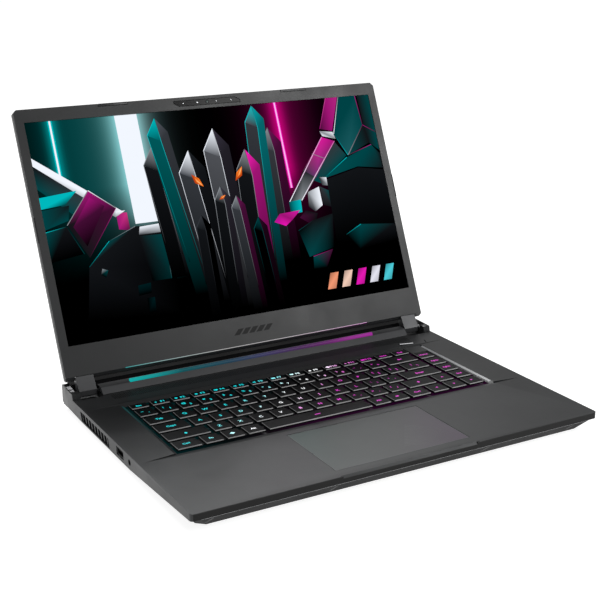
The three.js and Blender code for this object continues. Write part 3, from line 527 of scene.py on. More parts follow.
def highlight_section(edge, reach):
    """A thin skin of painted highlight that wraps a keycap's top edge and runs down its slope by reach."""
    top = CAP_TOP_Z
    slope = math.hypot(CAP_TAPER, CAP_SLOPE_DROP)
    down = (-CAP_TAPER / slope, -CAP_SLOPE_DROP / slope)
    out = (down[1], -down[0])
    low = (edge + down[0] * reach, top + down[1] * reach)
    return [
        (low[0] - out[0] * 0.15, low[1] - out[1] * 0.15),
        (low[0] + out[0] * 0.05, low[1] + out[1] * 0.05),
        (edge + out[0] * 0.05, top + out[1] * 0.05),
        (edge + 0.14, top + 0.03),
        (edge + 0.14, top - 0.2),
    ]


def add_key_highlights(bm, x0, x1, y0, y1):
    """A painted highlight: a lighter skin along the front and the left of a keycap's top edge."""
    front, left = highlight_section(y0, 0.75), highlight_section(x0, 0.25)
    add_prism(bm, front, lambda u, v, end: (x1 + 0.1 if end else x0 - 0.1, u, v), 1)
    add_prism(bm, left, lambda u, v, end: (u, y1 - 0.2 if end else y0 + 0.25, v), 1)


def text_mark(text, size=4.0):
    """A key's legend. This and the next three give a function that draws it round a point."""
    return lambda bm, x, y: add_text(bm, text, size, x, y)


def icon_mark(outline, scale):
    return lambda bm, x, y: add_icon(bm, outline, x, y, scale)


def pair_mark(upper, lower):
    def draw(bm, x, y):
        add_text(bm, upper, 3.9, x - 2.6, y + 1.6)
        add_text(bm, lower, 4.2, x + 2.4, y - 1.5)
    return draw


def function_mark(number, outline):
    def draw(bm, x, y):
        add_icon(bm, outline, x - 3.3, y, 1.35)
        add_text(bm, "F%d" % number, 4.4, x + 2.5, y)
    return draw


def marks(letters, pairs=""):
    """Single letters, then pairs of characters that are parted by spaces."""
    return [text_mark(letter, 4.8) for letter in letters] + [pair_mark(*pair) for pair in pairs.split()]


def key_group(body, rows):
    """Dresses one body's keys, from rows of (row number, the keys' edges, a legend for each key)."""
    dress(body, KEY, 0.3)
    bm = bmesh.new()
    inset = KEY_MARGIN + CAP_TAPER
    for row, edges, legends in rows:
        depth = FUNCTION_DEPTH if row == 5 else KEY_PITCH
        y = KEY_FRONT_Y + row * KEY_PITCH
        for a, b, draw in zip(edges, edges[1:], legends):
            draw(bm, (a + b) / 2, y + depth / 2)
            add_key_highlights(bm, a + inset, b - inset, y + inset, y + depth - inset)
    # Each group's legends share a piece with its keycaps' painted edge highlights.
    piece("legend_" + body, bm, body, [LEGEND, KEY_HIGHLIGHT])


def keyboard():
    tab, caps, shift = -119.6, -114.6, -105.9
    left, right, down = KEY_LEFT_X, KEY_RIGHT_X, DOWN_ARROW_X
    functions = [function_mark(k, outline) for k, outline in enumerate(FUNCTION_ICONS, 1)]
    top_row = [text_mark("Esc", 3.6), *functions, text_mark("Pause", 3.0), text_mark("Del", 3.6)]
    ctrl, fn, alt = (text_mark(word, 3.8) for word in ("Ctrl", "Fn", "Alt"))
    arrows = [icon_mark(turned(POINTER, turns), 1.1) for turns in (0, 1, 2, 3)]
    navigation = enumerate(("End", "PgDn", "PgUp", "Home"), 1)
    groups = {
        "function_row_keys": [(5, even_edges(left, 15), top_row)],
        "number_row_keys": [(4, even_edges(left, 13), marks("", "~` !1 @2 #3 $4 %5 ^6 &7 *8 (9 )0 _- +="))],
        "backspace_key": [(4, [left + 13 * KEY_PITCH, right], [icon_mark(ARROW, 1.4)])],
        "tab_key": [(3, [left, tab], [text_mark("Tab")])],
        "upper_letter_keys": [(3, even_edges(tab, 12), marks("QWERTYUIOP", "{[ }]"))],
        "backslash_key": [(3, [tab + 12 * KEY_PITCH, right], marks("", "|\\"))],
        "caps_lock_key": [(2, [left, caps], [text_mark("Caps")])],
        "home_letter_keys": [(2, even_edges(caps, 11), marks("ASDFGHJKL", ":; \"'"))],
        "enter_key": [(2, [caps + 11 * KEY_PITCH, right], [text_mark("Enter")])],
        "left_shift_key": [(1, [left, shift], [icon_mark(SHIFT, 1.1)])],
        "lower_letter_keys": [(1, even_edges(shift, 10), marks("ZXCVBNM", "<, >. ?/"))],
        "right_shift_key": [(1, [shift + 10 * KEY_PITCH, down], [icon_mark(SHIFT, 1.1)])],
        "left_modifier_keys": [(0, LEFT_MODIFIERS, [ctrl, fn, icon_mark(DIAMOND, 1.25), alt])],
        "space_bar": [(0, [LEFT_MODIFIERS[-1], RIGHT_MODIFIERS[0]], [icon_mark(SPACE_MARK, 1.0)])],
        "right_modifier_keys": [(0, RIGHT_MODIFIERS, [alt, icon_mark(MENU, 1.0), ctrl])],
        "arrow_keys": [(0, ARROW_EDGES, arrows[1:]), (1, [down, right], arrows[:1])],
        "navigation_keys": [(row, NAV_EDGES, [text_mark(word, 3.5)]) for row, word in navigation],
    }
    for body, rows in groups.items():
        key_group(body, rows)
    dress("keyboard_plate", PLATE, 0)


# ---- Deck ----

def hole_cell(bm, x, y, pitch, radius, top, bottom):
    """One square cell of plate with a round hole right through it."""
    half = pitch / 2
    square = [(half, 0), (half, half), (0, half), (-half, half),
              (-half, 0), (-half, -half), (0, -half), (half, -half)]
    hole = ring_points(radius, 8)
    plan = ((square, top), (hole, top), (square, bottom), (hole, bottom))
    o, i, p, j = ([bm.verts.new((x + u, y + v, z)) for u, v in outline] for outline, z in plan)
    for k in range(8):
        n = (k + 1) % 8
        bm.faces.new((o[k], o[n], i[n], i[k]))
        bm.faces.new((p[n], p[k], j[k], j[n]))
        bm.faces.new((i[k], i[n], j[n], j[k]))


def vent_mesh():
    """The perforated air inlet behind the keyboard, with a plain rim all round it."""
    pitch = 1.8
    half, front, rear = GRILLE["half"], GRILLE["front"], GRILLE["rear"]
    top, bottom = GRILLE["top"], GRILLE["bottom"]
    columns, rows = int((2 * half - 2) / pitch), int((rear - front - 0.4) / pitch)
    x0, y0 = -columns * pitch / 2, (front + rear) / 2 - rows * pitch / 2
    bm = bmesh.new()
    for c in range(columns):
        for r in range(rows):
            hole_cell(bm, x0 + (c + 0.5) * pitch, y0 + (r + 0.5) * pitch, pitch, 0.55, top, bottom)
    bmesh.ops.remove_doubles(bm, verts=bm.verts, dist=0.01)
    x1, y1 = -x0, y0 + rows * pitch
    add_box(bm, -half, x0, front, rear, bottom, top)
    add_box(bm, x1, half, front, rear, bottom, top)
    add_box(bm, x0, x1, front, y0, bottom, top)
    add_box(bm, x0, x1, y1, rear, bottom, top)
    obj = piece("vent_mesh", bm, "base", [DECK_METAL])
    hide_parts("vent_grille")


def under_vent():
    """A dark dust net under the perforation."""
    bm = bmesh.new()
    half, front, rear = GRILLE["half"], GRILLE["front"], GRILLE["rear"]
    for x in range(-148, 148, 4):
        add_box(bm, x, x + 3.7, front + 0.5, rear - 0.5, -1.9, -1.75)
    add_box(bm, -half + 1, half - 1, front + 0.4, rear - 0.4, -2.1, -1.9)
    piece("dust_net", bm, "base", [DARK])


def deck_details():
    """The dark ends of the finger notch, and the slot beside the power button, as dark pieces: painted shade
    for these slots' hollows.
    """
    bm = bmesh.new()
    for x in (-61, 61):
        add_box(bm, x - 1, x + 1, 0.35, 1.25, -0.9, 0.02)
    slot = [(157.4, 210.4), (158.4, 210.1), (160.4, 216.3), (159.4, 216.7)]
    add_prism(bm, slot, lambda u, v, end: (u, v, 0.02 if end else -0.6))
    piece("deck_slot_shade", bm, "base", [DARK])


def well_painted_light():
    """A pale edge on the sloping sides of the keyboard opening: a painted highlight on the right, and on the
    left the keys' light painted on as a glow.
    """
    (x0, z0), (x1, z1) = WELL_SLOPE["low"], WELL_SLOPE["high"]
    across, rise = x1 - x0, z1 - z0
    length = math.hypot(across, rise)
    for side, word, material in ((-1, "left", SPILL), (1, "right", HIGHLIGHT_TRIM)):
        bm = bmesh.new()
        outline = []
        for share, lift in ((0.4, 0.05), (0.92, 0.05), (0.92, -0.1), (0.4, -0.1)):
            x = x0 + across * share - rise / length * lift
            outline.append((side * x, z0 + rise * share + across / length * lift))
        ends = (WELL_SLOPE["front"] if side > 0 else 130, WELL_SLOPE["rear"])
        add_prism(bm, outline, lambda u, v, end: (u, ends[end], v))
        piece("well_painted_light_" + word, bm, "base", [material])


def touchpad_rim_highlight():
    """A painted highlight: a lighter chamfered edge all round the touchpad."""
    half, front, rear, top = PAD_BOX["half"], PAD_BOX["front"], PAD_BOX["rear"], PAD_BOX["top"]
    wide, low, high = 0.45, top - 0.2, top + 0.03
    bm = bmesh.new()
    add_box(bm, -half + 0.05, half - 0.05, front + 0.05, front + wide, low, high)
    add_box(bm, -half + 0.05, half - 0.05, rear - wide, rear - 0.05, low, high)
    add_box(bm, -half + 0.05, -half + wide, front + wide, rear - wide, low, high)
    add_box(bm, half - wide, half - 0.05, front + wide, rear - wide, low, high)
    piece("touchpad_rim_highlight", bm, "touchpad", [PAD_RIM_HIGHLIGHT])


def touchpad_ribs():
    """Fine ribs that fan across a corner of the touchpad, as a faint printed pattern."""
    bm = bmesh.new()
    corner, reach = (58.5, 15), 15
    for k in range(reach):
        share = k / (reach - 1)
        start = (8 + 22 * share, 23 + 33 * share)
        end = (corner[0] - 22 * (1 - share), corner[1] + 14 * share)
        dx, dy = end[0] - start[0], end[1] - start[1]
        length = math.hypot(dx, dy)
        u, v = -dy / length * 0.32, dx / length * 0.32
        outline = [(start[0] - u, start[1] - v), end, (start[0] + u, start[1] + v)]
        add_prism(bm, outline, lambda a, b, top: (a, b, PAD_BOX["top"] + (0.012 if top else -0.1)))
    piece("touchpad_ribs", bm, "touchpad", [PAD_RIBS])


def power_light():
    """A slanted light bar across the power button."""
    bm = bmesh.new()
    outline = [(132.6, 216.0), (145.6, 213.0), (145.6, 214.3), (132.6, 217.3)]
    add_prism(bm, outline, lambda u, v, end: (u, v, 0.2 if end else -0.2))
    piece("power_light", bm, "power_button", [BUTTON_LIGHT])


def port_marks():
    """Small plain dots printed beside the left side's sockets."""
    bm = bmesh.new()
    for y, z in ((120.1, USB_Z), (104.1, AUDIO_JACK[1])):
        add_lathe(bm, [(0, 179.6), (0.6, 179.6), (0.6, 179.98), (0, 179.98)],
                  lambda u, v, h: (-h, y + u, z + v), 12)
    piece("port_marks", bm, "base", [PORT_MARK])


def front_parting_highlight():
    """A thin bright line along the parting under the deck's front edge: a painted highlight."""
    bm = bmesh.new()
    add_box(bm, -172, 172, 0.35, 0.8, -5.9, -5.5)
    piece("front_parting_highlight", bm, "base", [HIGHLIGHT_TRIM], 0.1)


def front_notch_highlights():
    """Small slanted notch marks let into the sloping front of the bottom cover, drawn lighter than the cover
    as a painted highlight.
    """
    def on_slope(u, v, end):
        y, z = 0.6 + v * 8.4, -5.8 - v * 9.2
        lift = 0.03 if end else -0.25
        return (u, y - lift * 0.74, z - lift * 0.67)
    bm = bmesh.new()
    stroke = [(-2.4, 0.72), (-1.9, 0.72), (2.2, 0.22), (1.6, 0.22)]
    for x in (-165, -66, 70, 155):
        for shift in (0, 1.5):
            add_prism(bm, [(x + u + shift, v) for u, v in stroke], on_slope)
    piece("front_notch_highlights", bm, "base", [SLANT_HIGHLIGHT])


def corner_fills():
    """Dark ribs that close the rear corners between the side walls and the rear cover."""
    for side, word in ((-1, "left"), (1, "right")):
        bm = bmesh.new()
        side_box(bm, side, 174, 178.9, 254, 263.2, -12.6, -1.4)
        piece("corner_fill_" + word, bm, "base", [SHELL], 0.3)


def hinge_inserts():
    """Bright pressed-metal shields inside the hollow corners beside the hinges."""
    for side, word in ((-1, "left"), (1, "right")):
        bm = bmesh.new()
        side_box(bm, side, 173.3, 178.1, 243, 252.5, 1.3, 2.6)
        side_box(bm, side, 173.3, 178.1, 253.2, 263.5, 1.3, 3.3)
        piece("hinge_shield_" + word, bm, "base", [SHIELD], 0.3)


# ---- Ports ----

def usb_tongue(name, side, y, z, wide, high, depth, lift):
    """The plastic tongue inside a USB socket, with four contacts under it."""
    bm = bmesh.new()
    outer, inner = 178.6, 178.6 - depth
    under = z + lift - high / 2
    side_box(bm, side, inner, outer, y - wide / 2, y + wide / 2, under, z + lift + high / 2)
    for k in range(4):
        cy = y - wide * 0.36 + wide * 0.24 * k
        near, far = cy - wide * 0.06, cy + wide * 0.06
        side_box(bm, side, inner + 1, outer - 0.8, near, far, under - 0.12, under + 0.02, 1)
    piece(name, bm, "base", [DARK, GOLD], 0.1)


def rear_tongues():
    """The video socket's tongue and both rear sockets' rows of contacts."""
    bm = bmesh.new()
    add_box(bm, 8.4, 19.6, 258, 269.5, -5.6, -4.5)
    for k in range(8):
        add_box(bm, 9.0 + 1.3 * k, 9.6 + 1.3 * k, 260, 269, -4.6, -4.42, 1)
    for k in range(8):
        add_box(bm, 36.2 + 1.0 * k, 36.7 + 1.0 * k, 259, 268, -3.2, -2.6, 1)
    piece("rear_contacts", bm, "base", [BLACK, GOLD], 0.05)


def power_pin():
    """The round pin in the power inlet."""
    bm = bmesh.new()
    profile = [(0, 259), (0.9, 259), (0.9, 268.6), (0.6, 269.2), (0, 269.4)]
    add_lathe(bm, profile, lambda u, v, h: (-42 + u, h, -5.2 + v), 16)
    piece("power_pin", bm, "base", [STEEL])


def jack_ring():
    """The dark collar round the audio jack's hole."""
    bm = bmesh.new()
    sides = 24
    profile = [(1.78, -179.62), (2.75, -179.62), (2.85, -179.75), (2.7, -179.95), (1.9, -179.95)]
    y, z = AUDIO_JACK
    rings = [[bm.verts.new((x, y + u, z + v)) for u, v in ring_points(r, sides)] for r, x in profile]
    for low, high in zip(rings, rings[1:] + rings[:1]):
        for k in range(sides):
            n = (k + 1) % sides
            bm.faces.new((low[k], low[n], high[n], high[k]))
    piece("jack_ring", bm, "base", [DARK])


def ports():
    for name in ("usb_a_port_left", "usb_a_port_right", "usb_c_port_right", "ethernet_port", "hdmi_port"):
        dress(name, PORT_STEEL, 0.12)
    dress("audio_jack", DARK, 0)
    dress("power_inlet", BLACK, 0.2)
    usb_tongue("usb_tongue_left", -1, 130, USB_Z, 11, 1.7, 9, 1.0)
    usb_tongue("usb_tongue_right", 1, 117, USB_Z, 11, 1.7, 9, 1.0)
    usb_tongue("usb_c_tongue", 1, 138, -5.9, 6.6, 0.7, 6, 0)
    rear_tongues()
    power_pin()
    jack_ring()
    port_marks()


# ---- Underside ----

def add_screw(bm, x, y, z):
    """A countersunk screw seen from below, with a cross in its head."""
    down = lambda u, v, h: (x + u, y - v, z - h)
    add_lathe(bm, [(0, -0.6), (1.5, -0.6), (2.3, 0.0), (2.2, 0.12), (1.2, 0.2), (0, 0.2)], down, 20)
    cross = [(-0.22, -0.9), (0.22, -0.9), (0.22, 0.9), (-0.22, 0.9)]
    for outline in (cross, turned(cross, 1)):
        add_prism(bm, outline, lambda u, v, end: (x + u, y + v, z - (0.24 if end else 0.1)), 1)


def underside():
    """The cover's screws, and a net above each fan's intake slots."""
    bm = bmesh.new()
    for x, y in ((-160, 14), (0, 12), (160, 14), (-160, 105), (160, 105), (-60, 130), (60, 130),
                 (-155, 232), (0, 231), (155, 232)):
        add_screw(bm, x, y, -15)
    piece("bottom_screws", bm, "base", [STEEL, DARK])
    bm = bmesh.new()
    for side in (-1, 1):
        for k in range(9):
            side_box(bm, side, 84 + 7.2 * k, 85 + 7.2 * k, 164, 204, -13.6, -13.3)
        for y in range(166, 204, 4):
            side_box(bm, side, 83, 143, y, y + 0.7, -13.9, -13.6)
    piece("intake_net", bm, "base", [DARK])


# ---- Hinge and lid ----

def lip_painted_reflection():
    """A thin polished edge along the lid's lower lip, with the light strip's reflection painted on it as a
    glow.
    """
    bm = bmesh.new()
    outline = [(LIP_Y - 0.12, LIP_H), (LIP_Y + 0.2, LIP_H - 0.28), (LIP_Y + 0.25, LIP_H + 0.3),
               (LIP_Y - 0.1, LIP_H + 0.35)]
    ends = (LIGHT_LEFT_X, LIGHT_RIGHT_X)
    add_prism(bm, outline, lambda u, v, end: (ends[end], u, v))
    piece("lip_painted_reflection", bm, "lid", [LIP_REFLECTION])


def chin_marks():
    """A row of plain slanted bars below the middle of the screen."""
    bm = bmesh.new()
    for k in range(5):
        x = -20.6 + 7.4 * k
        outline = [(x, 23.9), (x + 5.6, 23.9), (x + 10.8, 29.2), (x + 5.2, 29.2)]
        add_prism(bm, outline, lambda u, v, end: (u, LIP_Y - (0.03 if end else -0.2), v))
    piece("chin_marks", bm, "lid", [SLANT_DARK])


def webcam():
    """The camera strip's glass, with a lens in a ring, and small sensors and microphones beside it."""
    dress("webcam_module", GLASS, 0.15)
    front = -0.70
    toward = lambda x, h: (lambda u, v, k: (x + u, front - k, h + v))
    bm = bmesh.new()
    ring = [(0, -0.3), (1.9, -0.3), (1.9, 0.05), (1.5, 0.12), (1.3, 0.02), (0, 0.02)]
    add_lathe(bm, ring, toward(0, CAMERA_H), 24)
    piece("lens_ring", bm, "lid", [BLACK])
    bm = bmesh.new()
    add_lathe(bm, [(0, -0.2), (1.1, -0.2), (1.0, 0.04), (0.6, 0.1), (0, 0.12)], toward(0, CAMERA_H), 20)
    piece("lens_glass", bm, "lid", [PAD])
    bm = bmesh.new()
    for x, radius in ((-10, 0.6), (-24, 0.4), (24, 0.4), (9, 0.45)):
        add_lathe(bm, [(0, -0.2), (radius, -0.2), (radius, 0.02), (0, 0.03)], toward(x, CAMERA_H), 14)
    piece("camera_dots", bm, "lid", [STEEL])


def lid_back():
    """Two shallow ridges down the plain back of the lid, and a rail along the hinge."""
    bm = bmesh.new()
    for side in (-1, 1):
        side_box(bm, side, 96, 97.2, 5.0, 5.27, 22, 238)
    add_box(bm, -150, 150, 5.0, 5.27, 17, 18)
    piece("lid_back_lines", bm, "lid", [DARK])


def side_bumpers():
    """A rubber stop in each of the lid's side borders."""
    bm = bmesh.new()
    for side in (-1, 1):
        side_box(bm, side, 179, 179.95, -1.0, -0.4, 130, 152)
    piece("side_bumpers", bm, "lid", [RUBBER], 0.2)


# ---- Screen picture ----

def glow(distance, width):
    return math.exp(-(distance / width) ** 2)


def backdrop_color(x, h):
    """Two lit corridors: teal and white on the left, magenta on the right, black towards the floor."""
    t = (h - SCREEN_LOW) / (SCREEN_HIGH - SCREEN_LOW)
    fade = max(0.0, min(1.0, (t - 0.28) / 0.4))
    teal = 0.26 * glow(x + 135, 42) + 0.4 * glow(x + 149.7, 6) * max(0, min(1, (t - 0.68) / 0.06))
    white = 0.55 * glow(x + 80.5, 31) + 0.7 * glow(x + 80.5, 16) * max(0, min(1, (t - 0.42) / 0.12))
    pink = 0.3 * glow(x - 72, 34) + 0.45 * glow(x - 68.4, 9) * max(0, min(1, (t - 0.5) / 0.15))
    red = 0.55 * white + 1.0 * pink
    green = 0.85 * teal + 0.75 * white + 0.02 * pink
    blue = 0.86 * teal + 0.76 * white + 0.6 * pink
    return tuple(min(1.0, c * fade) for c in (red, green, blue))


def add_backdrop(bm, paint):
    columns, rows = 120, 66
    grid = []
    for r in range(rows + 1):
        h = SCREEN_LOW + (SCREEN_HIGH - SCREEN_LOW) * r / rows
        line = []
        for c in range(columns + 1):
            x = -SCREEN_HALF + 2 * SCREEN_HALF * c / columns
            line.append(bm.verts.new((x, 0.8, h)))
        grid.append(line)
    for r in range(rows):
        for c in range(columns):
            face = bm.faces.new((grid[r][c], grid[r][c + 1], grid[r + 1][c + 1], grid[r + 1][c]))
            for loop in face.loops:
                x, _, h = loop.vert.co
                loop[paint] = (*backdrop_color(x, h), 1)


def add_shard(bm, paint, layer, corners):
    """A flat polygon of the picture. Each corner is (x, h, colour), and colours blend between them."""
    y = 0.78 - 0.004 * layer
    verts = [bm.verts.new((x, y, h)) for x, h, _ in corners]
    face = bm.faces.new(verts)
    for loop, (_, _, color) in zip(face.loops, corners):
        loop[paint] = (*color, 1)


INK = (0.0, 0.0, 0.0)
SLATE = (0.07, 0.08, 0.09)
ASH = (0.2, 0.21, 0.23)
SILVER = (0.52, 0.54, 0.56)
BRIGHT = (0.95, 0.97, 1.0)
TEAL = (0.0, 0.26, 0.27)
DEEP = (0.0, 0.11, 0.12)
AQUA = (0.0, 0.72, 0.74)
PLUM = (0.26, 0.05, 0.2)
ROSE = (0.62, 0.08, 0.45)
FUCHSIA = (0.92, 0.08, 0.7)
AMBER = (1.0, 0.5, 0.15)


def ray(x0, h0, x1, h1, wide, near, far):
    """A thin line of light between two points."""
    length = math.hypot(x1 - x0, h1 - h0)
    u, v = -(h1 - h0) / length * wide / 2, (x1 - x0) / length * wide / 2
    return [(x0 - u, h0 - v, near), (x1 - u, h1 - v, far), (x1 + u, h1 + v, far), (x0 + u, h0 + v, near)]


def crystal(x, low, high, wide, lean, left, right, edge):
    """An upright crystal of two facets under a slanted tip, with lines of light on its ridges."""
    top, brow, half = x + lean, high - wide * 0.75, wide / 2
    ridge, tip = x + wide * 0.12, (top, high)
    near, far = (top - half, brow), (top + half, brow + wide * 0.1)
    fold = (top + wide * 0.1, brow - wide * 0.3)
    return [
        [(x - half, low, INK), (ridge, low, INK), (*fold, left), (*near, left)],
        [(ridge, low, INK), (x + half, low, INK), (*far, right), (*fold, right)],
        [(*near, scaled(left, 1.5)), (*fold, left), (*tip, edge)],
        [(*fold, right), (*far, right), (*tip, scaled(right, 1.6))],
        ray(ridge, low + 20, *fold, 0.5, INK, edge),
        ray(*near, *tip, 0.7, edge, edge),
        ray(*fold, *tip, 0.5, edge, left),
        ray(x - half, low + 30, *near, 0.5, INK, edge),
    ]


def light_tubes():
    top = SCREEN_HIGH
    return [
        ray(-149.7, 184, -149.7, top, 4.2, AQUA, AQUA),
        ray(-149.7, 184, -149.7, top, 1.6, BRIGHT, BRIGHT),
        ray(-80.5, 136, -80.5, top, 21, BRIGHT, BRIGHT),
        ray(68.4, 151, 68.4, top, 3.4, FUCHSIA, FUCHSIA),
        ray(68.4, 151, 68.4, top, 1.4, (1, 0.7, 0.95), (1, 0.75, 0.97)),
    ]


def left_plates():
    left = -SCREEN_HALF
    return [
        [(left, 176, TEAL), (left, 195, SLATE), (-124, 160, ASH), (-140, 146, TEAL)],
        [(left, 196, BRIGHT), (left, 203, BRIGHT), (-100, 148, BRIGHT), (-108, 144, SILVER)],
        [(left, 158, AQUA), (left, 168, AQUA), (-138, 171, AQUA), (-150, 160, TEAL)],
        [(left, 140, TEAL), (left, 157, TEAL), (-147, 159, SLATE), (-150, 146, TEAL)],
        [(-152, 142, SLATE), (-128, 170, ROSE), (-106, 152, PLUM), (-138, 112, SLATE)],
        [(-147, 140, PLUM), (-128, 164, ROSE), (-116, 155, PLUM), (-138, 122, INK)],
        ray(-152, 142, -128, 170, 0.7, SILVER, SILVER),
        ray(-128, 170, -106, 152, 0.7, BRIGHT, SILVER),
        ray(-138, 112, -106, 152, 0.5, SLATE, ROSE),
        [(left, 112, INK), (left, 138, TEAL), (-153, 141, SLATE), (-142, 116, INK)],
        ray(left, 138, -153, 141, 0.6, AQUA, SLATE),
        ray(-153, 141, -142, 116, 0.5, SLATE, TEAL),
        [(-107, 133, ROSE), (-107, 148, ROSE), (-97, 147, (0.8, 0.2, 0.5)), (-97, 131, PLUM)],
        [(-100, 148, BRIGHT), (-108, 144, SILVER), (-107, 149, BRIGHT), (-98, 149, BRIGHT)],
    ]


def lower_left_blocks():
    return [
        [(-150, 58, INK), (-140, 104, SLATE), (-118, 124, TEAL), (-92, 134, SLATE), (-64, 132, SLATE),
         (-60, 96, INK), (-66, 52, INK)],
        ray(-140, 104, -118, 124, 0.5, TEAL, AQUA),
        ray(-118, 124, -92, 134, 0.5, TEAL, SILVER),
        [(-90, 126, ASH), (-88, 133, BRIGHT), (-64, 134, BRIGHT), (-64, 126, SILVER)],
        [(-90, 125, SLATE), (-66, 124, TEAL), (-68, 84, (0.0, 0.14, 0.15)), (-86, 84, INK)],
        ray(-66, 124, -68, 84, 0.5, SILVER, TEAL),
        [(-63, 117, SILVER), (-63, 136, BRIGHT), (-53, 140, SILVER), (-52, 112, BRIGHT)],
        [(-62, 110, TEAL), (-50, 108, SILVER), (-47, 84, INK), (-63, 82, INK)],
        ray(-50, 108, -47, 84, 0.6, BRIGHT, SLATE),
        [(-101, 73, INK), (-100, 82, DEEP), (-88, 83, DEEP), (-89, 74, INK)],
        [(-95, 57, INK), (-94, 70, INK), (-87, 70, DEEP), (-88, 57, INK)],
        [(-131, 96, INK), (-129, 101, SILVER), (-124, 99, TEAL), (-127, 93, INK)],
    ]


def centre_crystals():
    return (
        crystal(-56, 84, 203, 22, -6, SLATE, ASH, SILVER)
        + crystal(52, 84, 210, 22, 4, ASH, PLUM, SILVER)
        + crystal(-38, 66, 228, 20, -16, (0.0, 0.34, 0.35), ASH, AQUA)
        + crystal(34, 66, 232, 20, 10, ASH, (0.02, 0.4, 0.42), AQUA)
        + crystal(-20, 56, 196, 26, -8, ASH, SLATE, BRIGHT)
        + crystal(22, 56, 192, 24, 6, SLATE, ROSE, SILVER)
        + crystal(2, 48, 214, 26, -2, (0.3, 0.31, 0.33), (0.13, 0.12, 0.15), BRIGHT)
        + crystal(-8, 48, 160, 16, 4, SLATE, (0.14, 0.13, 0.16), SILVER)
        + crystal(12, 44, 150, 14, -2, ASH, PLUM, SILVER)
        + crystal(-30, 44, 136, 14, 2, SLATE, INK, ASH)
        + crystal(30, 44, 128, 14, -2, INK, (0.1, 0.02, 0.08), TEAL)
    )


def ember(x, h, size, turn):
    """A small glowing chip between the crystals."""
    u, v = math.cos(turn) * size, math.sin(turn) * size
    dim = (0.7, 0.22, 0.05)
    return [
        [(x - u, h - v, dim), (x + v * 0.45, h - u * 0.45, dim), (x + u, h + v, AMBER),
         (x - v * 0.3, h + u * 0.3, AMBER)],
        [(x - u * 0.5, h - v * 0.5, AMBER), (x + v * 0.2, h - u * 0.2, AMBER),
         (x + u * 0.8, h + v * 0.8, (1, 0.88, 0.6))],
    ]


def right_plates():
    top, right = SCREEN_HIGH, SCREEN_HALF
    return [
        [(138, top, TEAL), (157, top, TEAL), (159, 204, TEAL), (136, 176, (0.1, 0.35, 0.37)),
         (125, 198, TEAL)],
        [(159, top, SLATE), (right, top, TEAL), (right, 178, TEAL), (162, 186, SLATE), (136, 176, TEAL),
         (160, 204, SLATE)],
        [(124, 190, ASH), (134, 176, TEAL), (100, 152, TEAL), (92, 156, TEAL)],
        [(134, 174, TEAL), (164, 184, TEAL), (right, 174, SLATE), (right, 160, SLATE), (144, 164, TEAL),
         (104, 156, (0, 0.3, 0.31))],
        ray(138, top, 125, 198, 0.7, SILVER, BRIGHT),
        ray(157, top, 159, 204, 0.7, ROSE, PLUM),
        ray(159, 204, 136, 176, 0.8, PLUM, SILVER),
        ray(136, 176, 125, 198, 0.6, AQUA, TEAL),
        ray(134, 174, 104, 156, 0.7, AQUA, TEAL),
        ray(136, 176, 164, 184, 0.6, ASH, ROSE),
        ray(159, 204, right, 196, 0.6, ROSE, PLUM),
        [(124, top, ROSE), (137, top, (0.7, 0.15, 0.5)), (124, 201, ROSE), (111, 204, PLUM)],
        ray(124, top, 111, 204, 0.6, (0.8, 0.3, 0.6), ROSE),
        [(110, 202, SILVER), (124, 200, BRIGHT), (126, 193, SILVER), (112, 197, BRIGHT)],
        [(111, 196, (0.85, 0.1, 0.6)), (124, 191, ROSE), (96, 158, (0.4, 0.2, 0.42)), (84, 166, ASH)],
        [(84, 166, SLATE), (96, 158, ASH), (76, 138, SILVER), (63, 138, SLATE)],
        ray(111, 196, 63, 138, 0.8, (0.9, 0.5, 0.8), BRIGHT),
        ray(124, 191, 76, 138, 0.8, (0.85, 0.4, 0.7), BRIGHT),
        ray(97, 181, 110, 175, 0.5, SILVER, SILVER),
        [(62, 138, TEAL), (75, 139, AQUA), (74, 127, AQUA), (62, 126, TEAL)],
        [(82, 131, SLATE), (84, 145, SILVER), (97, 149, BRIGHT), (97, 131, BRIGHT), (88, 126, ASH)],
        [(98, 149, ASH), (107, 144, TEAL), (107, 128, SLATE), (98, 131, SLATE)],
        [(99, 158, SLATE), (107, 157, BRIGHT), (107, 149, SILVER), (101, 150, ASH)],
        [(43, 121, (0.75, 0.06, 0.6)), (50, 128, ROSE), (72, 129, (0.85, 0.1, 0.65)), (62, 121, ROSE),
         (54, 116, FUCHSIA)],
        [(70, 122, PLUM), (78, 128, SLATE), (90, 124, SLATE), (84, 112, INK)],
        [(66, 110, INK), (84, 118, SLATE), (106, 122, SLATE), (100, 90, INK), (72, 84, TEAL)],
        ray(66, 110, 84, 118, 0.5, TEAL, SLATE),
        [(107, 155, SLATE), (144, 163, SLATE), (right, 158, SLATE), (right, 96, INK), (104, 92, INK)],
        [(116, 100, INK), (134, 108, TEAL), (right, 104, SLATE), (right, 88, INK), (128, 84, INK)],
        ray(116, 100, 134, 108, 0.5, TEAL, AQUA),
        [(76, 84, TEAL), (98, 88, PLUM), (88, 72, INK), (74, 72, INK)],
        ray(76, 84, 98, 88, 0.5, ROSE, PLUM),
    ]


def picture_shards():
    embers = ember(-25, 168, 8, -0.9) + ember(17, 170, 8, 0.95) + ember(-4, 150, 4, 0.5)
    return light_tubes() + left_plates() + lower_left_blocks() + centre_crystals() + embers + right_plates()


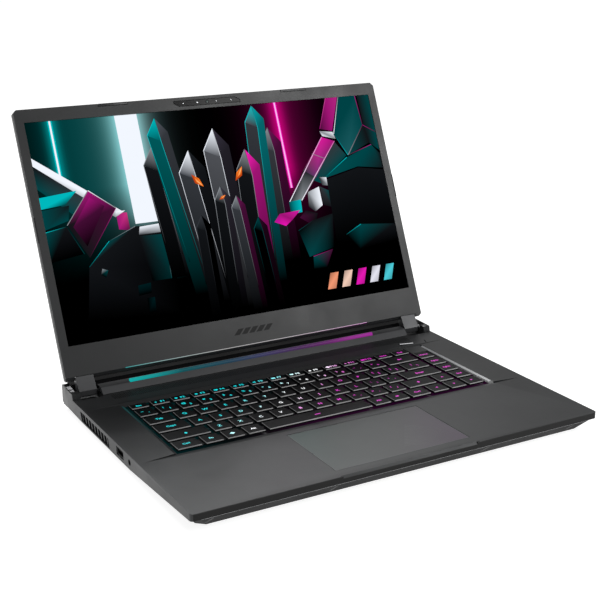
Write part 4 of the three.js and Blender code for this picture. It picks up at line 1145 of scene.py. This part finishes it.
def add_facet_mark(bm, paint, layer):
    """A plain row of slanted bars where a wallpaper might carry a title."""
    colors = [(0.95, 0.6, 0.45), (0.95, 0.8, 0.72), (0.9, 0.1, 0.7), (0.9, 0.9, 0.95), (0.3, 0.8, 0.85)]
    low, high = 51, 66
    for k, color in enumerate(colors):
        x = 84 + 15.6 * k
        add_shard(bm, paint, layer, [
            (x, low, color),
            (x + 9, low, scaled(color, 0.8)),
            (x + 15, high, color),
            (x + 6, high, scaled(color, 0.7)),
        ])


def screen_picture():
    """The lit picture: a shaded backdrop with flat polygons in front of it, one layer each."""
    bm = bmesh.new()
    paint = bm.loops.layers.color.new("paint")
    add_backdrop(bm, paint)
    shards = picture_shards()
    for layer, corners in enumerate(shards):
        add_shard(bm, paint, 1 + layer, corners)
    add_facet_mark(bm, paint, len(shards) + 2)
    piece("screen_picture", bm, "lid", [PICTURE])


# ---- Dressing the CAD nodes ----

def dress_base():
    dress("top_case", TOP_METAL, 0.25)
    dress("bottom_cover", SHELL, 0.3)
    dress("rear_cover", REAR, 0.3)
    dress("front_foot", RUBBER, 0.3)
    dress("rear_foot", RUBBER, 0.3)
    dress("hinge_bar", BAR, 0.25)
    dress("light_bar", LIGHT, 0)
    dress("touchpad", PAD, 0.2)
    dress("power_button", BUTTON_METAL, 0.3)
    dress("motherboard", BOARD, 0)
    dress("heat_pipes", COPPER, 0.3)
    dress("battery_pack", WRAP, 0.6)
    dress("solid_state_drive", BOARD, 0.2)
    dress("memory_module", BOARD, 0.2)
    for side in ("left", "right"):
        dress("hinge_bracket_" + side, STEEL, 0.2)
        dress("heatsink_" + side, COPPER, 0)
        dress("fan_housing_" + side, BLACK, 0.4)
        dress("fan_impeller_" + side, BLACK, 0)
        dress("speaker_" + side, BLACK, 0.5)


def dress_lid():
    dress("lid_cover", DECK_METAL, 0.3)
    dress("display_bezel", BEZEL, 0.2)
    dress("lcd_panel", GLASS, 0)
    for side in ("left", "right"):
        dress("hinge_arm_" + side, CAP, 0.15)
        dress("hinge_cap_" + side, CAP, 0.4)
        dress("lid_bumper_" + side, BEZEL, 0.2)


# ---- Studio ----

def floor():
    mat, tree, shader = new_material("studio_floor")
    tint = ramp(tree, noise(tree, 3.0, 3.0), [(0.3, (0.44, 0.44, 0.44)), (0.7, (0.46, 0.46, 0.46))])
    feed(tree, shader, {
        "Base Color": tint,
        "Roughness": 0.85,
        "Emission Color": (1, 1, 1, 1),
        "Emission Strength": 0.88,
    })
    bm = bmesh.new()
    centre = bm.verts.new((0, 0, 0))
    rim = [bm.verts.new((x, y, 0)) for x, y in ring_points(14.0, 96)]
    for k in range(96):
        bm.faces.new((centre, rim[k], rim[(k + 1) % 96]))
    mesh = bpy.data.meshes.new("studio_floor")
    bm.to_mesh(mesh)
    bm.free()
    mesh.materials.append(mat)
    obj = bpy.data.objects.new("studio_floor", mesh)
    scene.collection.objects.link(obj)


def world(strength):
    made = bpy.data.worlds.new("studio")
    made.use_nodes = True
    background = made.node_tree.nodes["Background"]
    background.inputs["Color"].default_value = (1, 1, 1, 1)
    background.inputs["Strength"].default_value = strength
    scene.world = made


def softbox(name, place, target, width, height, watts):
    data = bpy.data.lights.new(name, "AREA")
    data.shape = "RECTANGLE"
    data.size = width
    data.size_y = height
    data.energy = watts
    obj = bpy.data.objects.new(name, data)
    obj.location = place
    obj.rotation_mode = "QUATERNION"
    obj.rotation_quaternion = (Vector(target) - Vector(place)).to_track_quat("-Z", "Y")
    scene.collection.objects.link(obj)


def camera():
    azimuth, elevation = math.radians(-30.07), math.radians(18.5)
    back = Vector((
        math.sin(azimuth) * math.cos(elevation),
        -math.cos(azimuth) * math.cos(elevation),
        math.sin(elevation),
    ))
    data = bpy.data.cameras.new("camera")
    data.lens = 73.66
    data.sensor_width = 36
    data.shift_x = -0.0316
    data.shift_y = 0.040
    data.dof.use_dof = False
    data.clip_start = 0.05
    data.clip_end = 60
    obj = bpy.data.objects.new("camera", data)
    obj.location = (-0.47675, -0.85968, 0.39984)
    obj.rotation_mode = "QUATERNION"
    obj.rotation_quaternion = (-back).to_track_quat("-Z", "Y")
    scene.collection.objects.link(obj)
    scene.camera = obj


camera()
floor()
world(0.32)
softbox("back", (0.2, 1.1, 1.22), (0.05, -0.1, 0), 1.4, 0.4, 18)
softbox("right", (0.75, -0.85, 0.85), (0, 0.05, 0.08), 0.3, 0.6, 5.5)
scene.view_settings.view_transform = "Standard"

dress_base()
dress_lid()
keyboard()
vent_mesh()
under_vent()
deck_details()
well_painted_light()
touchpad_rim_highlight()
touchpad_ribs()
power_light()
front_parting_highlight()
front_notch_highlights()
hinge_inserts()
corner_fills()
ports()
underside()
lip_painted_reflection()
chin_marks()
webcam()
lid_back()
side_bumpers()
screen_picture()
